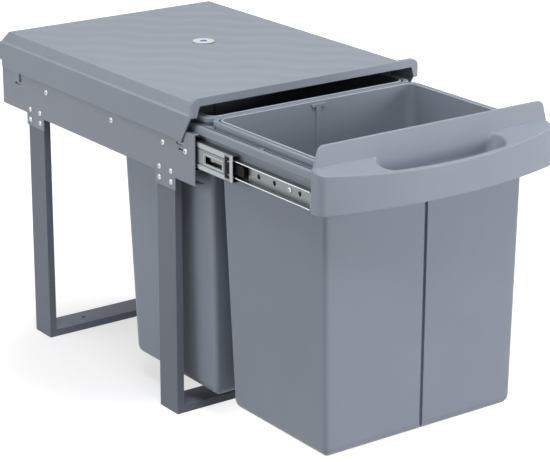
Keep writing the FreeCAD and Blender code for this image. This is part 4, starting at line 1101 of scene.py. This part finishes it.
@dataclass
class Studio:
    """Pale floor, soft lamps, white surround and the camera of the photograph."""

    floor_half: float = 6.0
    floor_cells: int = 2
    floor_drop: float = 0.2 * MM
    floor_colour: Colour = (0.45, 0.45, 0.46)
    # The floor's lift is lower within a round patch of painted shadow beside the left legs, higher outside
    # it.
    floor_lift: Span = (0.62, 0.92)
    painted_shadow_middle: Place = (-0.12, 0.03, 0.0)
    painted_shadow_reach: Span = (0.12, 0.27)
    horizon_lift: Span = (0.0, 0.08)
    horizon_reach: Span = (0.7, 1.8)
    ambient: float = 0.08
    eye: Place = (-1.4918, -2.2114, 1.0737)
    yaw: float = math.radians(34.83)
    pitch: float = math.radians(18.39)
    roll: float = math.radians(0.16)
    focal_pixels: float = 2070.3
    centre_pixel: Span = (235.7, 214.2)
    sensor: float = 36.0
    sight: float = 50.0
    lamps: Tuple[SoftLight, ...] = (
        SoftLight("overhead", (-0.5, -0.9, 2.6), (0.0, -0.2, 0.3), 1.4, 42.0),
        SoftLight("front", (1.3, -2.75, 0.65), (0.0, -0.4, 0.25), 1.1, 33.0),
        SoftLight("right", (2.5, -1.0, 1.0), (0.0, -0.2, 0.25), 1.3, 11.0),
        SoftLight("rear", (0.4, 2.6, 0.3), (0.0, 0.2, 0.25), 0.5, 10.0),
        SoftLight("side", (-2.7, 0.9, 1.2), (0.0, -0.1, 0.25), 1.7, 27.0),
    )

    def build(self) -> None:
        """Set up the floor, the light and the camera."""
        self._floor()
        self._surround()
        for lamp in self.lamps:
            lamp.build()
        self._camera()
        bpy.context.scene.view_settings.view_transform = "Standard"

    def _floor(self) -> None:
        """Lay the floor, which keeps the shadow and is lifted to white for the camera, less round a point
        beside the left legs, where a shadow is painted.
        """
        sheet = bmesh.new()
        bmesh.ops.create_grid(sheet, x_segments=self.floor_cells, y_segments=self.floor_cells,
                              size=self.floor_half, matrix=Matrix.Translation((0.0, 0.0, -self.floor_drop)))
        mesh = into_mesh(sheet, "floor")
        material = bpy.data.materials.new("floor")
        tree = cleared_tree(material)
        output = add_node(tree, "ShaderNodeOutputMaterial")
        matt = add_node(tree, "ShaderNodeBsdfDiffuse", {"Color": (*self.floor_colour, 1.0)})
        glow = add_node(tree, "ShaderNodeEmission")
        both = add_node(tree, "ShaderNodeAddShader")
        strength = add_node(tree, "ShaderNodeMath", operation="MULTIPLY")
        place = add_node(tree, "ShaderNodeTexCoord")
        away = add_node(tree, "ShaderNodeVectorMath", {1: self.painted_shadow_middle}, operation="DISTANCE")
        total = add_node(tree, "ShaderNodeMath", operation="ADD")
        link = tree.links.new
        link(place.outputs["Object"], away.inputs[0])
        # Painted shadow: the lift is weaker near the patch's middle.
        lift = add_range(tree, away.outputs["Value"], self.painted_shadow_reach, self.floor_lift, "SMOOTHSTEP")
        distant = add_range(tree, away.outputs["Value"], self.horizon_reach, self.horizon_lift, "SMOOTHSTEP")
        link(lift, total.inputs[0])
        link(distant, total.inputs[1])
        link(self._seen_share(tree), strength.inputs[0])
        link(total.outputs["Value"], strength.inputs[1])
        link(strength.outputs["Value"], glow.inputs["Strength"])
        link(matt.outputs["BSDF"], both.inputs[0])
        link(glow.outputs["Emission"], both.inputs[1])
        link(both.outputs["Shader"], output.inputs["Surface"])
        mesh.materials.append(material)
        floor = add_object("floor", mesh)

    @staticmethod
    def _seen_share(tree: bpy.types.NodeTree) -> bpy.types.NodeSocket:
        """Give the share of rays that see the background: camera, glossy and transmitted ones.

        Args:
            tree: Node tree that gets the nodes.

        Returns:
            Socket with one for such rays and zero for the others.
        """
        path = add_node(tree, "ShaderNodeLightPath")
        mirror = add_node(tree, "ShaderNodeMath", operation="MAXIMUM")
        seen = add_node(tree, "ShaderNodeMath", operation="MAXIMUM")
        tree.links.new(path.outputs["Is Glossy Ray"], mirror.inputs[0])
        tree.links.new(path.outputs["Is Transmission Ray"], mirror.inputs[1])
        tree.links.new(path.outputs["Is Camera Ray"], seen.inputs[0])
        tree.links.new(mirror.outputs["Value"], seen.inputs[1])
        return seen.outputs["Value"]

    def _surround(self) -> None:
        """Make the surround: even light on the object, plain white to the eye."""
        world = bpy.data.worlds.new("surround")
        bpy.context.scene.world = world
        tree = cleared_tree(world)
        output = add_node(tree, "ShaderNodeOutputWorld")
        light = add_node(tree, "ShaderNodeBackground", {"Color": WHITE, "Strength": self.ambient})
        white = add_node(tree, "ShaderNodeBackground", {"Color": WHITE})
        choice = add_node(tree, "ShaderNodeMixShader")
        tree.links.new(self._seen_share(tree), choice.inputs["Fac"])
        tree.links.new(light.outputs["Background"], choice.inputs[1])
        tree.links.new(white.outputs["Background"], choice.inputs[2])
        tree.links.new(choice.outputs["Shader"], output.inputs["Surface"])

    def _camera(self) -> None:
        """Set up the camera of the photograph, with its principal point off the middle."""
        data = bpy.data.cameras.new("photo_camera")
        data.sensor_fit = "HORIZONTAL"
        data.sensor_width = self.sensor
        data.lens = self.focal_pixels / PHOTO_WIDTH * self.sensor
        data.shift_x = (PHOTO_WIDTH / 2 - self.centre_pixel[0]) / PHOTO_WIDTH
        data.shift_y = (self.centre_pixel[1] - PHOTO_HEIGHT / 2) / PHOTO_WIDTH
        data.clip_end = self.sight
        camera = add_object("photo_camera", data)
        camera.location = self.eye
        aim = Euler((math.pi / 2 - self.pitch, 0.0, -self.yaw), "XYZ").to_matrix()
        camera.rotation_euler = (aim @ Matrix.Rotation(-self.roll, 3, "Z")).to_euler()
        bpy.context.scene.camera = camera


GREY_PLASTIC: Colour = (0.315, 0.352, 0.415)
BIN_GREY: Colour = (0.322, 0.360, 0.426)
PANEL_GREY: Colour = (0.332, 0.371, 0.438)
FINISHES: Tuple[Finish, ...] = (
    # The legs' coat is the plates' powder coat made darker: painted shade.
    Finish("leg_paint", (0.222, 0.245, 0.292), 0.48, Grain.POWDER, specular=0.2),
    Finish("plate_paint", (0.305, 0.340, 0.402), 0.46, Grain.POWDER),
    Finish("zinc", (0.235, 0.257, 0.266), 0.36, Grain.ZINC, metallic=1.0, streak_spread=0.08,
           edge_highlight_lift=2.6, edge_radius=0.4 * MM, groove_shade_reach=2.0 * MM, groove_shade_darkness=0.3),
    # Lighter zinc of the pressed relief: painted highlight on the member's own metal.
    Finish("relief_highlight_zinc", (0.37, 0.405, 0.42), 0.34, Grain.ZINC, metallic=1.0, streak_spread=0.08,
           edge_highlight_lift=1.2, edge_radius=0.4 * MM, groove_shade_reach=2.0 * MM, groove_shade_darkness=0.3),
    # Bright zinc of the strips on the lips: painted highlight.
    Finish("lip_highlight_zinc", (0.74, 0.75, 0.76), 0.26, Grain.ZINC, metallic=1.0, edge_radius=0.3 * MM,
           groove_shade_reach=1.5 * MM, groove_shade_darkness=0.4),
    Finish("rivet_zinc", (0.58, 0.59, 0.61), 0.30, Grain.ZINC, metallic=1.0, edge_radius=0.3 * MM,
           groove_shade_reach=1.5 * MM, groove_shade_darkness=0.3),
    Finish("steel_balls", (0.70, 0.71, 0.72), 0.14, Grain.POLISHED, metallic=1.0, roughness_spread=0.03),
    Finish("cage_plastic", (0.045, 0.047, 0.052), 0.5, Grain.MOULDED, edge_radius=0.3 * MM, specular=0.2),
    Finish("black_plastic", (0.010, 0.011, 0.013), 0.5, Grain.MOULDED, edge_radius=0.5 * MM, specular=0.12),
    Finish("lid_plastic", GREY_PLASTIC, 0.47, Grain.MOULDED),
    Finish("carrier_plastic", GREY_PLASTIC, 0.42, Grain.MOULDED),
    Finish("bin_plastic", BIN_GREY, 0.46, Grain.BIN_WALL, specular=0.3, edge_highlight_lift=1.0,
           groove_shade_reach=4.0 * MM, groove_shade_darkness=0.66),
    Finish("corner_plastic", BIN_GREY, 0.46, Grain.BIN_WALL, edge_highlight_lift=0.0, edge_radius=0.02 * MM,
           specular=0.3),
    # Pale plastic round the bins' mouths: painted highlight.
    Finish("mouth_highlight_plastic", (0.74, 0.79, 0.86), 0.40, Grain.BIN_WALL, edge_radius=0.2 * MM),
    Finish("panel_plastic", PANEL_GREY, 0.42, Grain.MOULDED, edge_radius=1.6 * MM, edge_highlight_lift=0.6),
    DotFinish("seal_paper", (0.86, 0.88, 0.90), 0.55, Grain.PAPER, tone_spread=0.02,
              dot_place=(19.7 * MM, 35.2 * MM, 418.85 * MM)),
)


def main() -> None:
    """Build and dress the sub-assemblies in order and set the stage."""
    logging.basicConfig(level=logging.INFO, format="%(name)s: %(message)s")
    rack = FinishRack(FINISHES)
    for assembly in (Chassis(), LidCover(), Slides(), PullOut()):
        assembly.build(rack)
        assembly.dress(rack)
    Studio().build()


if __name__ == "__main__":
    main()
